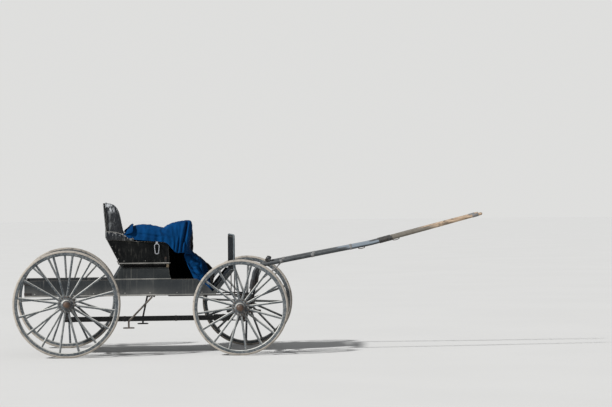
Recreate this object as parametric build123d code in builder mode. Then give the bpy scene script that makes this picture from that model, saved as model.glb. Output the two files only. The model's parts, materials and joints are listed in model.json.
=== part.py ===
# Open horse-drawn buggy with a raised seat box, four dished wooden wheels and a pair of shafts.
# Millimetres. +X is forward, +Y is the buggy's left, +Z is up.
# The origin is on the ground, in the middle of the overall length, on the centre line.
# Stations along the body are measured forward from the rear axle, and those on the turning
# front gear and on the shafts are measured forward from the king bolt.

import os
from math import atan2, cos, degrees, radians, sin, tan

from build123d import *

os.makedirs("parts", exist_ok=True)

# Wheels and where they stand
wheelbase = 1730
track = 1420
rear_wheel_radius = 508
front_wheel_radius = 457
steer_angle = -7
tyre_width = 27
tyre_depth = 18
tyre_slope = 5
felloe_width = 29
felloe_depth = 32
spoke_count = 16
dish = 30
running_clearance = 0.25
seat_clearance = 0.2
side_play = 0.5

# Hub, measured outward from the middle of the rim
hub_inner_end = -110
hub_outer_end = 84
flange_inner = -49
flange_outer = -9
flange_thickness = 7
flange_radius = 82
hub_drum_radius = 60
hub_barrel_radius = 45
hub_nose_radius = 34
hub_heel_radius = 40
nose_band_length = 16
nose_band_depth = 3

# Axles
spindle_radius = 14
axle_bar = 28
front_bed_height = 344
crank_inset = 58
crank_lean = 22
crank_bend_radius = 32
collar_radius = 25
collar_length = 14
nut_across = 38
nut_length = 22

# Body box
body_rear = -400
bracket_foot = 1425
bracket_rake = 193
bracket_rise = 241
bracket_width = 44
body_depth = 155
body_half_width = 380
board = 16
entry_foot_inset = 23
entry_foot_rise = 29
entry_run = 152
entry_bend = (96, 66)
toe_board_thickness = 14

# Dash
dash_setback = 6
dash_height = 332
dash_half_width = 386
dash_edge_thickness = 16
dash_skin_thickness = 7
dash_edge_width = 20
dash_corner_radius = 46

# Seat box, from the station of the riser's rear foot
seat_station = 452
riser_foot_length = 554
riser_rear_lean = 70
riser_front_lean = 24
riser_front_hollow = 5
riser_side_inset = 7
riser_height = 116
recess_inset = 24
recess_height = 32
corner_block = 22
seat_overhang_rear = 24
seat_overhang_front = 10
seat_overhang_side = 29
seat_bottom_thickness = 16
seat_end_inset = 24
seat_end_rear_inset = 8
seat_end_front_inset = 5
seat_end_rear_lean = 112
seat_end_front_lean = 10
seat_end_rear_rise = 222
seat_end_front_rise = 192
seat_flare = 11
seat_end_thickness = 15
seat_end_corner_radius = 22

# Lazy back, from the top rear corner of the seat ends
back_board_rise = 352
back_board_inset = 2
back_board_lean = 33
back_board_thickness = 12
wing_thickness = 40
wing_front_foot = 178
wing_waist = (150, 110)
wing_breast = (125, 230)
wing_shoulder = (90, 302)
wing_top_front = (36, 349)
pad_foot_depth = 112
pad_top_depth = 62
pad_top_drop = 14
pad_edge_radius = 24
pad_clearance = 0.3

# Cushion
cushion_rear_gap = 8
cushion_front_gap = 24
cushion_side_gap = 4
cushion_height = 96
cushion_corner_radius = 30
cushion_edge_radius = 22

# Lap robe, by station and height from the front top edge of the seat bottom
robe_near_side = -452
robe_far_side = 300
robe_rear = -392
robe_top = ((-337, 356), (-192, 366), (-57, 328), (-2, 368), (213, 400))
robe_front = ((183, 206), (165, 102), (59, 96))
robe_over_front = 18
robe_fall_near_side = -350
robe_fall_far_side = 220
robe_fall_front = ((183, 206), (360, -18))
robe_fall_back = ((188, -24), (138, 106))
robe_front_low = (41, -244)
robe_back_low = (215, -184)
robe_foot_gap = 23
robe_fall_thickness = 36
robe_curtain = ((20, 160), (20, -164), (248, -164), (238, 16), (183, 206))
robe_curtain_thickness = 16

# Springs, reach and fifth wheel
spring_leaf = 6
spring_width = 38
spring_eye_radius = 9
rear_spring_half_length = 440
front_spring_half_length = 375
spring_clip_height = 8
front_spring_opening = 98.7
spring_clip_length = 64
spring_clip_wall = 3
spring_bar_width = 46
rear_spring_bar_height = 30
front_spring_bar_height = 26
body_iron_thickness = 12
body_iron_width = 34
body_iron_y = 250
body_iron_rear = 980
reach_gap = 28
reach_width = 42
reach_height = 48
reach_front_gap = 105
strap_thickness = 8
strap_width = 34
king_bolt_radius = 9
king_bolt_nut = 12
axle_cap_height = 18
axle_cap_half_length = 330
fifth_wheel_radius = 170
fifth_wheel_width = 22
fifth_wheel_thickness = 10
fifth_wheel_play = 0.3
head_block_height = 32
head_block_width = 50
head_block_half_length = 235

# Steel loop on the right-hand seat end
loop_station = 414
loop_width = 52
loop_foot_width = 40
loop_drop = 104
loop_rod = 7
loop_stand_off = 12
loop_hook_width = 20
loop_hook_gauge = 4
loop_hook_drop = 20

# Steps
step_rod_radius = 9
step_pad_length = 108
step_pad_width = 84
step_pad_thickness = 8

# Shafts, measured forward from the king bolt
shaft_pivot_station = 52
shaft_pivot_rise = 58
shaft_heel = (100, 640)
shaft_knee = (135, 838)
shaft_bend = (1250, 1045)
shaft_tip = (2324, 1325)
shaft_knee_radius = 110
shaft_bend_radius = 2000
shaft_radius = 18
shaft_tip_radius = 14
shaft_taper_start = 1750
shaft_heel_inset = 68
shaft_tip_y = 300
ferrule_length = 70
ferrule_wall = 4
heel_neck_width = 28
heel_neck_depth = 20
pivot_boss_radius = 17
pivot_pin_radius = 8
ear_gap = 36
ear_thickness = 9
crossbar_station = 245
crossbar_height = 34
crossbar_depth = 40
singletree_half_length = 405
singletree_mid_radius = 21
singletree_end_radius = 14
singletree_plate = 4
singletree_bolt_radius = 7

# Heights, built up from the front axle through the fifth wheel and the front spring to the body
cap_foot = front_bed_height + axle_bar / 2
cap_top = cap_foot + axle_cap_height
lower_ring_top = cap_top + fifth_wheel_thickness
upper_ring_foot = lower_ring_top + fifth_wheel_play
upper_ring_top = upper_ring_foot + fifth_wheel_thickness
head_block_top = upper_ring_top + head_block_height
front_bar_foot = head_block_top + front_spring_opening
iron_bottom = front_bar_foot + front_spring_bar_height
body_bottom = iron_bottom + body_iron_thickness
floor_top = body_bottom + board
body_top = body_bottom + body_depth
riser_top = body_top + riser_height
recess_top = riser_top + recess_height
seat_top = recess_top + seat_bottom_thickness
dash_bottom = body_bottom + bracket_rise
reach_foot = front_bed_height - axle_bar / 2 - reach_gap
reach_top = reach_foot + reach_height
rear_bed_height = reach_top + axle_bar / 2
rear_bar_foot = body_bottom - rear_spring_bar_height

# Stations along the body
entry_foot = bracket_foot - entry_foot_inset
entry_start = entry_foot - entry_run
bracket_top = bracket_foot + bracket_rake
dash_station = bracket_top - dash_setback
riser_front_foot = seat_station + riser_foot_length
riser_rear = seat_station + riser_rear_lean
riser_front = riser_front_foot - riser_front_lean
seat_bottom_rear = riser_rear - seat_overhang_rear
seat_bottom_front = riser_front + seat_overhang_front
seat_end_rear_foot = seat_bottom_rear + seat_end_rear_inset
seat_end_front_foot = seat_bottom_front - seat_end_front_inset
seat_end_rear_top = (seat_end_rear_foot - seat_end_rear_lean, seat_top + seat_end_rear_rise)
seat_end_front_top = (seat_end_front_foot - seat_end_front_lean, seat_top + seat_end_front_rise)

# Widths
inside_half_width = body_half_width - board
riser_half_width = body_half_width - riser_side_inset
seat_bottom_half_width = riser_half_width + seat_overhang_side
seat_end_inner = seat_bottom_half_width - seat_end_inset
spindle_root = track / 2 + hub_inner_end - side_play
nut_seat = track / 2 + hub_outer_end + side_play
crank_top_y = spindle_root - crank_inset
crank_foot_y = crank_top_y - crank_lean
shaft_heel_y = crank_foot_y - shaft_heel_inset
shaft_pivot = (shaft_pivot_station, front_bed_height + shaft_pivot_rise)

# The shafts stand in upright planes that close in towards the tips
shaft_closing = degrees(atan2(shaft_heel_y - shaft_tip_y, shaft_tip[0] - shaft_pivot[0]))
shaft_run = shaft_tip[0] - shaft_pivot[0]
tip_forward = shaft_pivot[0] + shaft_run * cos(radians(shaft_closing))
tip_aside = shaft_heel_y - shaft_run * sin(radians(shaft_closing))
tip_reach = (
    tip_forward * cos(radians(steer_angle))
    - tip_aside * sin(radians(steer_angle))
    + shaft_tip_radius
)
overall_length = rear_wheel_radius + wheelbase + tip_reach
rear_axle_x = rear_wheel_radius - overall_length / 2
king_x = rear_axle_x + wheelbase
gear = Location((king_x, 0, 0), (0, 0, steer_angle))


def side(y):
    """Side view at one y: local x is forward of the rear axle, local y is height."""
    return Plane(origin=(rear_axle_x, y, 0), x_dir=(1, 0, 0), z_dir=(0, -1, 0))


def across(station):
    """Cross-section at one station: local x is to the left, local y is height."""
    return Plane(origin=(rear_axle_x + station, 0, 0), x_dir=(0, 1, 0), z_dir=(1, 0, 0))


def level(height):
    """Plan view at one height: local x is forward of the rear axle, local y is to the left."""
    return Plane(origin=(rear_axle_x, 0, height), x_dir=(1, 0, 0), z_dir=(0, 0, 1))


def on_gear(plane):
    """A plane given from the king bolt with the gear straight, turned to where it stands."""
    return Plane(gear * plane.location)


gear_across = on_gear(Plane.YZ)


def finish(builder, name):
    builder.part.label = name
    export_step(builder.part, f"parts/{name}.step")


# Side panels: full height behind, cut down for stepping in, with the bracket of the toe board
for name, sign in (("right", -1), ("left", 1)):
    inner = sign * (body_half_width - board)
    with BuildPart() as side_panel:
        with BuildSketch(side(inner)):
            with BuildLine():
                Polyline(
                    (entry_start, body_top),
                    (body_rear, body_top),
                    (body_rear, body_bottom),
                    (bracket_foot, body_bottom),
                    (bracket_top, dash_bottom),
                    (bracket_top - bracket_width, dash_bottom),
                    (entry_foot, body_bottom + entry_foot_rise),
                )
                ThreePointArc(
                    (entry_foot, body_bottom + entry_foot_rise),
                    (entry_start + entry_bend[0], body_top - entry_bend[1]),
                    (entry_start, body_top),
                )
            make_face()
        extrude(amount=-sign * board)
    finish(side_panel, f"side_panel_{name}")

with BuildPart() as tail_panel:
    with BuildSketch(across(body_rear)):
        with Locations((0, (body_bottom + body_top) / 2)):
            Rectangle(2 * inside_half_width, body_top - body_bottom)
    extrude(amount=board)
finish(tail_panel, "tail_panel")

floor_front = bracket_foot - 6
with BuildPart() as floor:
    with BuildSketch(level(body_bottom)):
        with Locations(((body_rear + board + floor_front) / 2, 0)):
            Rectangle(floor_front - body_rear - board, 2 * inside_half_width)
    extrude(amount=board)
finish(floor, "floor")

# Toe board, from the floor's front edge up to the foot of the dash
toe_slope = atan2(bracket_rise, bracket_rake)
toe_shift = toe_board_thickness / sin(toe_slope)


def bracket_line(height):
    """Station of the bracket's front edge at one height."""
    rise = (height - body_bottom) / tan(toe_slope)
    return bracket_foot + rise


with BuildPart() as toe_board:
    with BuildSketch(side(0)):
        with BuildLine():
            Polyline(
                (bracket_line(floor_top) - toe_shift, floor_top),
                (bracket_line(floor_top), floor_top),
                (bracket_line(dash_bottom), dash_bottom),
                (bracket_line(dash_bottom) - toe_shift, dash_bottom),
                close=True,
            )
        make_face()
    extrude(amount=inside_half_width, both=True)
finish(toe_board, "toe_board")

# Dash: leather over an iron frame, with a padded edge and two flat fields
with BuildPart() as dash:
    with BuildSketch(across(dash_station - dash_edge_thickness / 2)):
        with Locations((0, dash_bottom + dash_height / 2)):
            Rectangle(2 * dash_half_width, dash_height)
    extrude(amount=dash_edge_thickness)
    upright_corners = dash.edges().filter_by(Axis.X).group_by(Axis.Z)[-1]
    fillet(upright_corners, radius=dash_corner_radius)
    for face_plane, direction in (
        (across(dash_station - dash_edge_thickness / 2), 1),
        (across(dash_station + dash_edge_thickness / 2), -1),
    ):
        with BuildSketch(face_plane):
            with Locations((0, dash_bottom + dash_height / 2)):
                RectangleRounded(
                    2 * (dash_half_width - dash_edge_width),
                    dash_height - 2 * dash_edge_width,
                    dash_corner_radius - dash_edge_width,
                )
        extrude(
            amount=direction * (dash_edge_thickness - dash_skin_thickness) / 2,
            mode=Mode.SUBTRACT,
        )
finish(dash, "dash")

# Body irons: bars from under the floor to the front spring bar, with the dash stays on them
iron_front = wheelbase + spring_bar_width / 2
stay_thickness = 8
stay_top = dash_bottom + 60
stay_back = dash_station + dash_edge_thickness / 2
with BuildPart() as body_irons:
    for y in (-body_iron_y, body_iron_y):
        with BuildSketch(level(iron_bottom)):
            with Locations(((body_iron_rear + iron_front) / 2, y)):
                Rectangle(iron_front - body_iron_rear, body_iron_width)
        extrude(amount=body_iron_thickness)
        with BuildSketch(across(stay_back)):
            with Locations((y, (body_bottom + stay_top) / 2)):
                Rectangle(body_iron_width, stay_top - body_bottom)
        extrude(amount=stay_thickness)
finish(body_irons, "body_irons")

# Seat riser: a hollow box on the body's top edges, with a recessed rail above it
with BuildPart() as seat_riser:
    with BuildSketch(side(0)):
        with BuildLine():
            Polyline(
                (riser_front_foot, body_top),
                (seat_station, body_top),
                (riser_rear, riser_top),
                (riser_front, riser_top),
            )
            ThreePointArc(
                (riser_front, riser_top),
                (riser_front + riser_front_hollow, (riser_top + body_top) / 2),
                (riser_front_foot, body_top),
            )
        make_face()
    extrude(amount=riser_half_width, both=True)
    with BuildSketch(level(riser_top)):
        with Locations(((riser_rear + riser_front) / 2, 0)):
            Rectangle(riser_front - riser_rear - recess_inset, 2 * (riser_half_width - recess_inset))
    extrude(amount=recess_top - riser_top)
    with BuildSketch(level(body_top)):
        with Locations(((riser_rear + riser_front) / 2, 0)):
            Rectangle(
                riser_front - riser_rear - recess_inset - 2 * board,
                2 * (riser_half_width - recess_inset - board),
            )
    extrude(amount=recess_top - body_top, mode=Mode.SUBTRACT)
    with BuildSketch(level(riser_top)):
        with Locations(((riser_rear + riser_front) / 2, 0)):
            with GridLocations(riser_front - riser_rear - corner_block, 2 * riser_half_width - corner_block, 2, 2):
                Rectangle(corner_block, corner_block)
    extrude(amount=recess_top - riser_top)
finish(seat_riser, "seat_riser")

with BuildPart() as seat_bottom:
    with BuildSketch(level(recess_top)):
        with Locations(((seat_bottom_rear + seat_bottom_front) / 2, 0)):
            Rectangle(seat_bottom_front - seat_bottom_rear, 2 * seat_bottom_half_width)
    extrude(amount=seat_bottom_thickness)
    fillet(seat_bottom.edges().filter_by(Axis.Z), radius=8)
finish(seat_bottom, "seat_bottom")

# Seat ends: planks that lean out, cut level where they stand on the seat bottom
flare = radians(seat_flare)
foot_trim = 20
for name, sign in (("right", -1), ("left", 1)):
    end_plane = Plane(
        origin=(rear_axle_x, sign * seat_end_inner, seat_top),
        x_dir=(1, 0, 0),
        z_dir=(0, -cos(flare), sign * sin(flare)),
    )
    rise_rear = (seat_end_rear_top[1] - seat_top) / cos(flare)
    rise_front = (seat_end_front_top[1] - seat_top) / cos(flare)
    rear_lean = -seat_end_rear_lean / rise_rear
    front_lean = -seat_end_front_lean / rise_front
    with BuildPart() as seat_end:
        with BuildSketch(end_plane) as end_face:
            with BuildLine():
                Polyline(
                    (seat_end_rear_foot - foot_trim * rear_lean, -foot_trim),
                    (seat_end_rear_top[0], rise_rear),
                    (seat_end_front_top[0], rise_front),
                    (seat_end_front_foot - foot_trim * front_lean, -foot_trim),
                    close=True,
                )
            make_face()
            fillet(end_face.vertices().sort_by(Axis.Y)[-2:].sort_by(Axis.X)[-1], seat_end_corner_radius)
        extrude(amount=-sign * seat_end_thickness)
        split(bisect_by=Plane.XY.offset(seat_top), keep=Keep.TOP)
    finish(seat_end, f"seat_end_{name}")


def inside_seat(height):
    """Half the clear width between the seat ends at one height."""
    return seat_end_inner + (height - seat_top) * tan(flare)


# Seat back board, leaning back between the seat ends and trimmed to them
with BuildPart() as seat_back_board:
    with BuildSketch(side(0)):
        with BuildLine():
            Polyline(
                (seat_end_rear_foot, seat_top),
                (seat_end_rear_foot + board, seat_top),
                (seat_end_rear_top[0] + board, seat_end_rear_top[1]),
                seat_end_rear_top,
                close=True,
            )
        make_face()
    extrude(amount=inside_seat(seat_end_rear_top[1]) + foot_trim, both=True)
    for sign in (-1, 1):
        trim_plane = Plane(
            origin=(rear_axle_x, sign * (seat_end_inner - pad_clearance), seat_top),
            x_dir=(1, 0, 0),
            z_dir=(0, sign * cos(flare), -sin(flare)),
        )
        split(bisect_by=trim_plane, keep=Keep.BOTTOM)
finish(seat_back_board, "seat_back_board")

# Lazy back: an upright board on the seat back, a wing on each seat end and a pad between
back_half_width = inside_seat(seat_end_rear_top[1])
back_board_foot = seat_end_rear_top[0] + back_board_inset
back_board_top_station = back_board_foot - back_board_lean
back_board_top = seat_end_rear_top[1] + back_board_rise
with BuildPart() as lazy_back_board:
    with BuildSketch(side(0)):
        with BuildLine():
            Polyline(
                (back_board_foot, seat_end_rear_top[1] + pad_clearance),
                (back_board_foot + back_board_thickness, seat_end_rear_top[1] + pad_clearance),
                (back_board_top_station + back_board_thickness, back_board_top),
                (back_board_top_station, back_board_top),
                close=True,
            )
        make_face()
    extrude(amount=back_half_width + seat_end_thickness, both=True)
finish(lazy_back_board, "lazy_back_board")

wing_foot = seat_end_rear_top[1] + pad_clearance
wing_rear_foot = back_board_foot + back_board_thickness + pad_clearance
wing_rear_top = back_board_top_station + back_board_thickness + pad_clearance
seat_end_fall = (seat_end_rear_top[1] - seat_end_front_top[1]) / (
    seat_end_front_top[0] - seat_end_rear_top[0]
)
wing_foot_corner = (
    seat_end_rear_top[0] + wing_front_foot,
    wing_foot - (wing_front_foot - wing_rear_foot + seat_end_rear_top[0]) * seat_end_fall,
)


def from_back(point):
    """A point of the wing's side view, measured from the top rear corner of the seat ends."""
    return (seat_end_rear_top[0] + point[0], seat_end_rear_top[1] + point[1])


for name, sign in (("right", -1), ("left", 1)):
    wing_outer = sign * (back_half_width + seat_end_thickness)
    with BuildPart() as wing:
        with BuildSketch(side(wing_outer)):
            with BuildLine():
                Polyline(
                    wing_foot_corner,
                    (wing_rear_foot, wing_foot),
                    (wing_rear_top, back_board_top),
                    from_back(wing_top_front),
                )
                ThreePointArc(
                    from_back(wing_top_front), from_back(wing_shoulder), from_back(wing_breast)
                )
                ThreePointArc(from_back(wing_breast), from_back(wing_waist), wing_foot_corner)
            make_face()
        extrude(amount=sign * wing_thickness)
    finish(wing, f"lazy_back_wing_{name}")

pad_top = back_board_top - pad_top_drop
pad_rear_top = wing_rear_foot + (wing_rear_top - wing_rear_foot) * (pad_top - wing_foot) / (
    back_board_top - wing_foot
)
pad_half_width = back_half_width + seat_end_thickness - wing_thickness - pad_clearance
with BuildPart() as lazy_back_pad:
    with BuildSketch(side(0)) as pad_profile:
        with BuildLine():
            Polyline(
                (wing_rear_foot, wing_foot),
                (pad_rear_top, pad_top),
                (pad_rear_top + pad_top_depth, pad_top),
                (wing_rear_foot + pad_foot_depth, wing_foot),
                close=True,
            )
        make_face()
        fillet(pad_profile.vertices().sort_by(Axis.Y)[-2:], pad_edge_radius)
    extrude(amount=pad_half_width, both=True)
finish(lazy_back_pad, "lazy_back_pad")

cushion_foot = seat_top + pad_clearance
cushion_rear = seat_end_rear_foot + board + cushion_rear_gap
cushion_front = seat_bottom_front - cushion_front_gap
with BuildPart() as seat_cushion:
    with BuildSketch(level(cushion_foot)):
        with Locations(((cushion_rear + cushion_front) / 2, 0)):
            Rectangle(cushion_front - cushion_rear, 2 * (seat_end_inner - cushion_side_gap))
    extrude(amount=cushion_height)
    fillet(seat_cushion.edges().filter_by(Axis.Z), radius=cushion_corner_radius)
    fillet(seat_cushion.faces().sort_by(Axis.Z)[-1].edges(), radius=cushion_edge_radius)
finish(seat_cushion, "seat_cushion")

# Steps: a bent rod from under the body with a pad, swept back on the right-hand side
# columns: side, sign, rod's head station, pad station, pad's distance out, pad height
step_rows = (
    ("right", -1, 815, 590, 522, 262),
    ("left", 1, 800, 752, 520, 243),
)
step_plate_thickness = 8
for name, sign, head_station, pad_station, pad_out, pad_height in step_rows:
    head_y = sign * (body_half_width - 60)
    elbow_y = sign * (body_half_width + 26)
    head_height = body_bottom - step_plate_thickness
    rod_height = head_height - step_rod_radius / 2
    rod_end = pad_height + step_pad_thickness
    with BuildPart() as step:
        with BuildLine():
            rod_line = FilletPolyline(
                (rear_axle_x + head_station, head_y, rod_height),
                (rear_axle_x + head_station, elbow_y, rod_height),
                (rear_axle_x + pad_station, sign * pad_out, rod_end + 60),
                (rear_axle_x + pad_station, sign * pad_out, rod_end - step_pad_thickness / 2),
                radius=24,
            )
        with BuildSketch(Plane(origin=rod_line @ 0, z_dir=rod_line % 0)):
            Circle(step_rod_radius)
        sweep(path=rod_line)
        with BuildSketch(level(head_height)):
            with Locations((head_station, head_y)):
                Rectangle(70, 70)
        extrude(amount=step_plate_thickness)
        with BuildSketch(level(pad_height)):
            with Locations((pad_station, sign * pad_out)):
                RectangleRounded(step_pad_length, step_pad_width, 18)
        extrude(amount=step_pad_thickness)
    finish(step, f"step_{name}")

# Steel loop hanging plumb from a hook over the right-hand seat end's top edge
loop_x = seat_station + loop_station
loop_edge = seat_end_rear_top[1] - (loop_x - seat_end_rear_top[0]) * seat_end_fall
loop_panel_inner = inside_seat(loop_edge)
loop_y = -(loop_panel_inner + seat_end_thickness + loop_stand_off)
hook_back = -(loop_panel_inner - loop_stand_off / 2)
hook_foot = loop_edge - loop_hook_drop
loop_top = hook_foot + loop_rod
hook_underside = loop_edge + loop_hook_width / 2 * seat_end_fall + pad_clearance
with BuildPart() as harness_loop:
    with BuildSketch(side(loop_y)):
        with Locations((loop_x, loop_top - loop_width / 2)):
            Circle(loop_width / 2)
        with Locations((loop_x, loop_top - loop_drop + loop_foot_width / 2)):
            Circle(loop_foot_width / 2)
        make_hull()
        offset(amount=-loop_rod, mode=Mode.SUBTRACT)
    extrude(amount=loop_rod)
    with BuildSketch(across(loop_x - loop_hook_width / 2)):
        with BuildLine():
            Polyline(
                (loop_y - loop_hook_gauge, hook_foot),
                (loop_y - loop_hook_gauge, hook_underside + loop_hook_gauge),
                (hook_back + loop_hook_gauge, hook_underside + loop_hook_gauge),
                (hook_back + loop_hook_gauge, hook_foot),
                (hook_back, hook_foot),
                (hook_back, hook_underside),
                (loop_y, hook_underside),
                (loop_y, hook_foot),
                close=True,
            )
        make_face()
    extrude(amount=loop_hook_width)
finish(harness_loop, "harness_loop")


# Lap robe: a thick folded cloth over the cushion and the right-hand seat end, falling to the floor
def from_seat_front(point):
    """A point of the robe's side view, measured from the front top edge of the seat bottom."""
    return (seat_bottom_front + point[0], seat_top + point[1])


def from_toe_board(point):
    """A point of the robe's side view: how far behind the toe board, height over the seat bottom."""
    height = seat_top + point[1]
    return (bracket_line(height) - toe_shift - point[0], height)


robe_back = seat_bottom_front + robe_rear
robe_hang = seat_bottom_front + robe_over_front
robe_on_end = seat_end_rear_top[1] - (robe_back - seat_end_rear_top[0]) * seat_end_fall + pad_clearance
robe_on_cushion = cushion_foot + cushion_height + pad_clearance
robe_inside = inside_seat(robe_on_cushion) - pad_clearance
robe_lap = 2
with BuildPart() as lap_robe:
    with BuildSketch(side(robe_near_side)):
        with BuildLine():
            Polyline(
                (robe_back, robe_on_end),
                *[from_seat_front(point) for point in robe_top],
                *[from_seat_front(point) for point in robe_front],
                (robe_hang, seat_top + robe_front[0][1]),
                (robe_hang, robe_on_end - (robe_hang - robe_back) * seat_end_fall),
                close=True,
            )
        make_face()
    extrude(amount=robe_near_side - robe_far_side)
    with BuildSketch(side(-robe_inside)):
        with BuildLine():
            Polyline(
                (robe_back, robe_on_cushion),
                (robe_back, robe_on_end + robe_lap),
                (robe_hang + board, robe_on_end + robe_lap),
                (robe_hang + board, robe_on_cushion),
                close=True,
            )
        make_face()
    extrude(amount=-robe_inside - robe_far_side)
    with BuildSketch(side(robe_fall_near_side)):
        with BuildLine():
            Polyline(
                *[from_seat_front(point) for point in robe_fall_front],
                from_toe_board(robe_front_low),
                (bracket_foot - robe_foot_gap, floor_top + pad_clearance),
                (bracket_foot - robe_foot_gap - robe_fall_thickness, floor_top + pad_clearance),
                from_toe_board(robe_back_low),
                *[from_seat_front(point) for point in robe_fall_back],
                close=True,
            )
        make_face()
    extrude(amount=robe_fall_near_side - robe_fall_far_side)
    with BuildSketch(side(robe_far_side)):
        with BuildLine():
            Polyline(*[from_seat_front(point) for point in robe_curtain], close=True)
        make_face()
    extrude(amount=robe_curtain_thickness)
    with BuildSketch(across(loop_x - loop_hook_width / 2 - pad_clearance)):
        with Locations((loop_y - loop_hook_gauge - pad_clearance, hook_foot)):
            Rectangle(
                hook_back - loop_y + 2 * loop_hook_gauge + 2 * pad_clearance,
                hook_underside + loop_hook_gauge + pad_clearance - hook_foot,
                align=Align.MIN,
            )
    extrude(amount=loop_hook_width + 2 * pad_clearance, mode=Mode.SUBTRACT)
finish(lap_robe, "lap_robe")


# Running gear
def drop_axle(plane, bed_height, wheel_radius):
    """A square bar cranked down between the wheels, with a spindle, a collar and a nut each end."""
    with BuildPart() as axle:
        with BuildLine(plane):
            bar_line = FilletPolyline(
                (-spindle_root + collar_length / 2, wheel_radius),
                (-crank_top_y, wheel_radius),
                (-crank_foot_y, bed_height),
                (crank_foot_y, bed_height),
                (crank_top_y, wheel_radius),
                (spindle_root - collar_length / 2, wheel_radius),
                radius=crank_bend_radius,
            )
        with BuildSketch(Plane(origin=bar_line @ 0, x_dir=plane.z_dir, z_dir=bar_line % 0)):
            Rectangle(axle_bar, axle_bar)
        sweep(path=bar_line)
        for sign in (-1, 1):
            end_origin = plane.from_local_coords(Vector(0, wheel_radius, 0))
            outward = plane.x_dir * sign
            for start, length, radius in (
                (spindle_root - collar_length, collar_length, collar_radius),
                (spindle_root - collar_length, nut_seat - spindle_root + collar_length, spindle_radius),
            ):
                with BuildSketch(Plane(origin=end_origin + outward * start, z_dir=outward)):
                    Circle(radius)
                extrude(amount=length)
            with BuildSketch(Plane(origin=end_origin + outward * nut_seat, z_dir=outward)):
                RegularPolygon(nut_across / 2, 6, major_radius=False)
            extrude(amount=nut_length, taper=4)
    return axle


rear_axle = drop_axle(across(0), rear_bed_height, rear_wheel_radius)
finish(rear_axle, "rear_axle")

front_bar = drop_axle(gear_across, front_bed_height, front_wheel_radius)
with BuildPart() as front_axle:
    add(front_bar.part)
    with BuildSketch(on_gear(Plane.XY.offset(front_bed_height - axle_bar))):
        Circle(king_bolt_radius + running_clearance)
    extrude(amount=2 * axle_bar, mode=Mode.SUBTRACT)
    for sign in (-1, 1):
        for ear in (-1, 1):
            ear_face = sign * shaft_heel_y + ear * (ear_gap / 2)
            with BuildSketch(on_gear(Plane.XZ.offset(-ear_face))):
                with BuildLine():
                    Polyline(
                        (-axle_bar / 2, front_bed_height + axle_bar / 2),
                        (-axle_bar / 2, front_bed_height - axle_bar / 2),
                        (axle_bar / 2 + 6, front_bed_height - axle_bar / 2),
                        (shaft_pivot[0] + pivot_boss_radius, shaft_pivot[1]),
                        (shaft_pivot[0], shaft_pivot[1] + pivot_boss_radius),
                        (-axle_bar / 2, front_bed_height + axle_bar / 2),
                    )
                make_face()
            extrude(amount=-ear * ear_thickness)
        with BuildSketch(on_gear(Plane.XZ.offset(-sign * shaft_heel_y))):
            with Locations(shaft_pivot):
                Circle(pivot_pin_radius)
        extrude(amount=ear_gap / 2 + ear_thickness + 4, both=True)
finish(front_axle, "front_axle")

# Wooden cap on the front axle, the two rings of the fifth wheel and the head block
with BuildPart() as axle_cap:
    with BuildSketch(on_gear(Plane.XY.offset(cap_foot))):
        Rectangle(axle_bar + 8, 2 * axle_cap_half_length)
        Circle(king_bolt_radius + running_clearance, mode=Mode.SUBTRACT)
    extrude(amount=axle_cap_height)
finish(axle_cap, "axle_cap")

ring_inner = fifth_wheel_radius - fifth_wheel_width
for name, plane in (
    ("lower", on_gear(Plane.XY.offset(cap_top))),
    ("upper", Plane(origin=(king_x, 0, upper_ring_foot), x_dir=(1, 0, 0), z_dir=(0, 0, 1))),
):
    with BuildPart() as ring:
        with BuildSketch(plane):
            Circle(fifth_wheel_radius)
            Circle(ring_inner, mode=Mode.SUBTRACT)
        extrude(amount=fifth_wheel_thickness)
    finish(ring, f"fifth_wheel_{name}")

with BuildPart() as head_block:
    with BuildSketch(level(upper_ring_top)):
        with Locations((wheelbase, 0)):
            Rectangle(head_block_width, 2 * head_block_half_length)
            Circle(king_bolt_radius + running_clearance, mode=Mode.SUBTRACT)
    extrude(amount=head_block_height)
finish(head_block, "head_block")

# Reach: a pole under the rear axle bed, with straps above and below the front gear
reach_rear = -spring_width
reach_front = wheelbase - reach_front_gap
with BuildPart() as reach:
    with BuildSketch(side(0)):
        with Locations(((reach_rear + reach_front) / 2, (reach_foot + reach_top) / 2)):
            RectangleRounded(reach_front - reach_rear, reach_height, 6)
    extrude(amount=reach_width / 2, both=True)
finish(reach, "reach")

strap_reach_lap = 190
strap_rise_start = reach_front - 6
strap_rise_end = wheelbase - 62
lower_strap_front = wheelbase + 26
block_back = wheelbase - head_block_width / 2
with BuildPart() as reach_straps:
    with BuildSketch(side(0)):
        with BuildLine():
            Polyline(
                (reach_front - strap_reach_lap, reach_foot),
                (reach_front - strap_reach_lap, reach_foot - strap_thickness),
                (lower_strap_front, reach_foot - strap_thickness),
                (lower_strap_front, reach_foot),
                close=True,
            )
        make_face()
        with BuildLine():
            Polyline(
                (reach_front - strap_reach_lap, reach_top),
                (strap_rise_start, reach_top),
                (strap_rise_end, upper_ring_top + 6),
                (block_back, upper_ring_top + 6),
                (block_back, upper_ring_top + 6 + strap_thickness),
                (strap_rise_end - 3, upper_ring_top + 6 + strap_thickness),
                (strap_rise_start - 3, reach_top + strap_thickness),
                (reach_front - strap_reach_lap, reach_top + strap_thickness),
                close=True,
            )
        make_face()
    extrude(amount=strap_width / 2, both=True)
    with BuildSketch(level(reach_foot)):
        with Locations((wheelbase, 0)):
            Circle(king_bolt_radius + running_clearance)
    extrude(amount=-strap_thickness, mode=Mode.SUBTRACT)
finish(reach_straps, "reach_straps")

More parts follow.
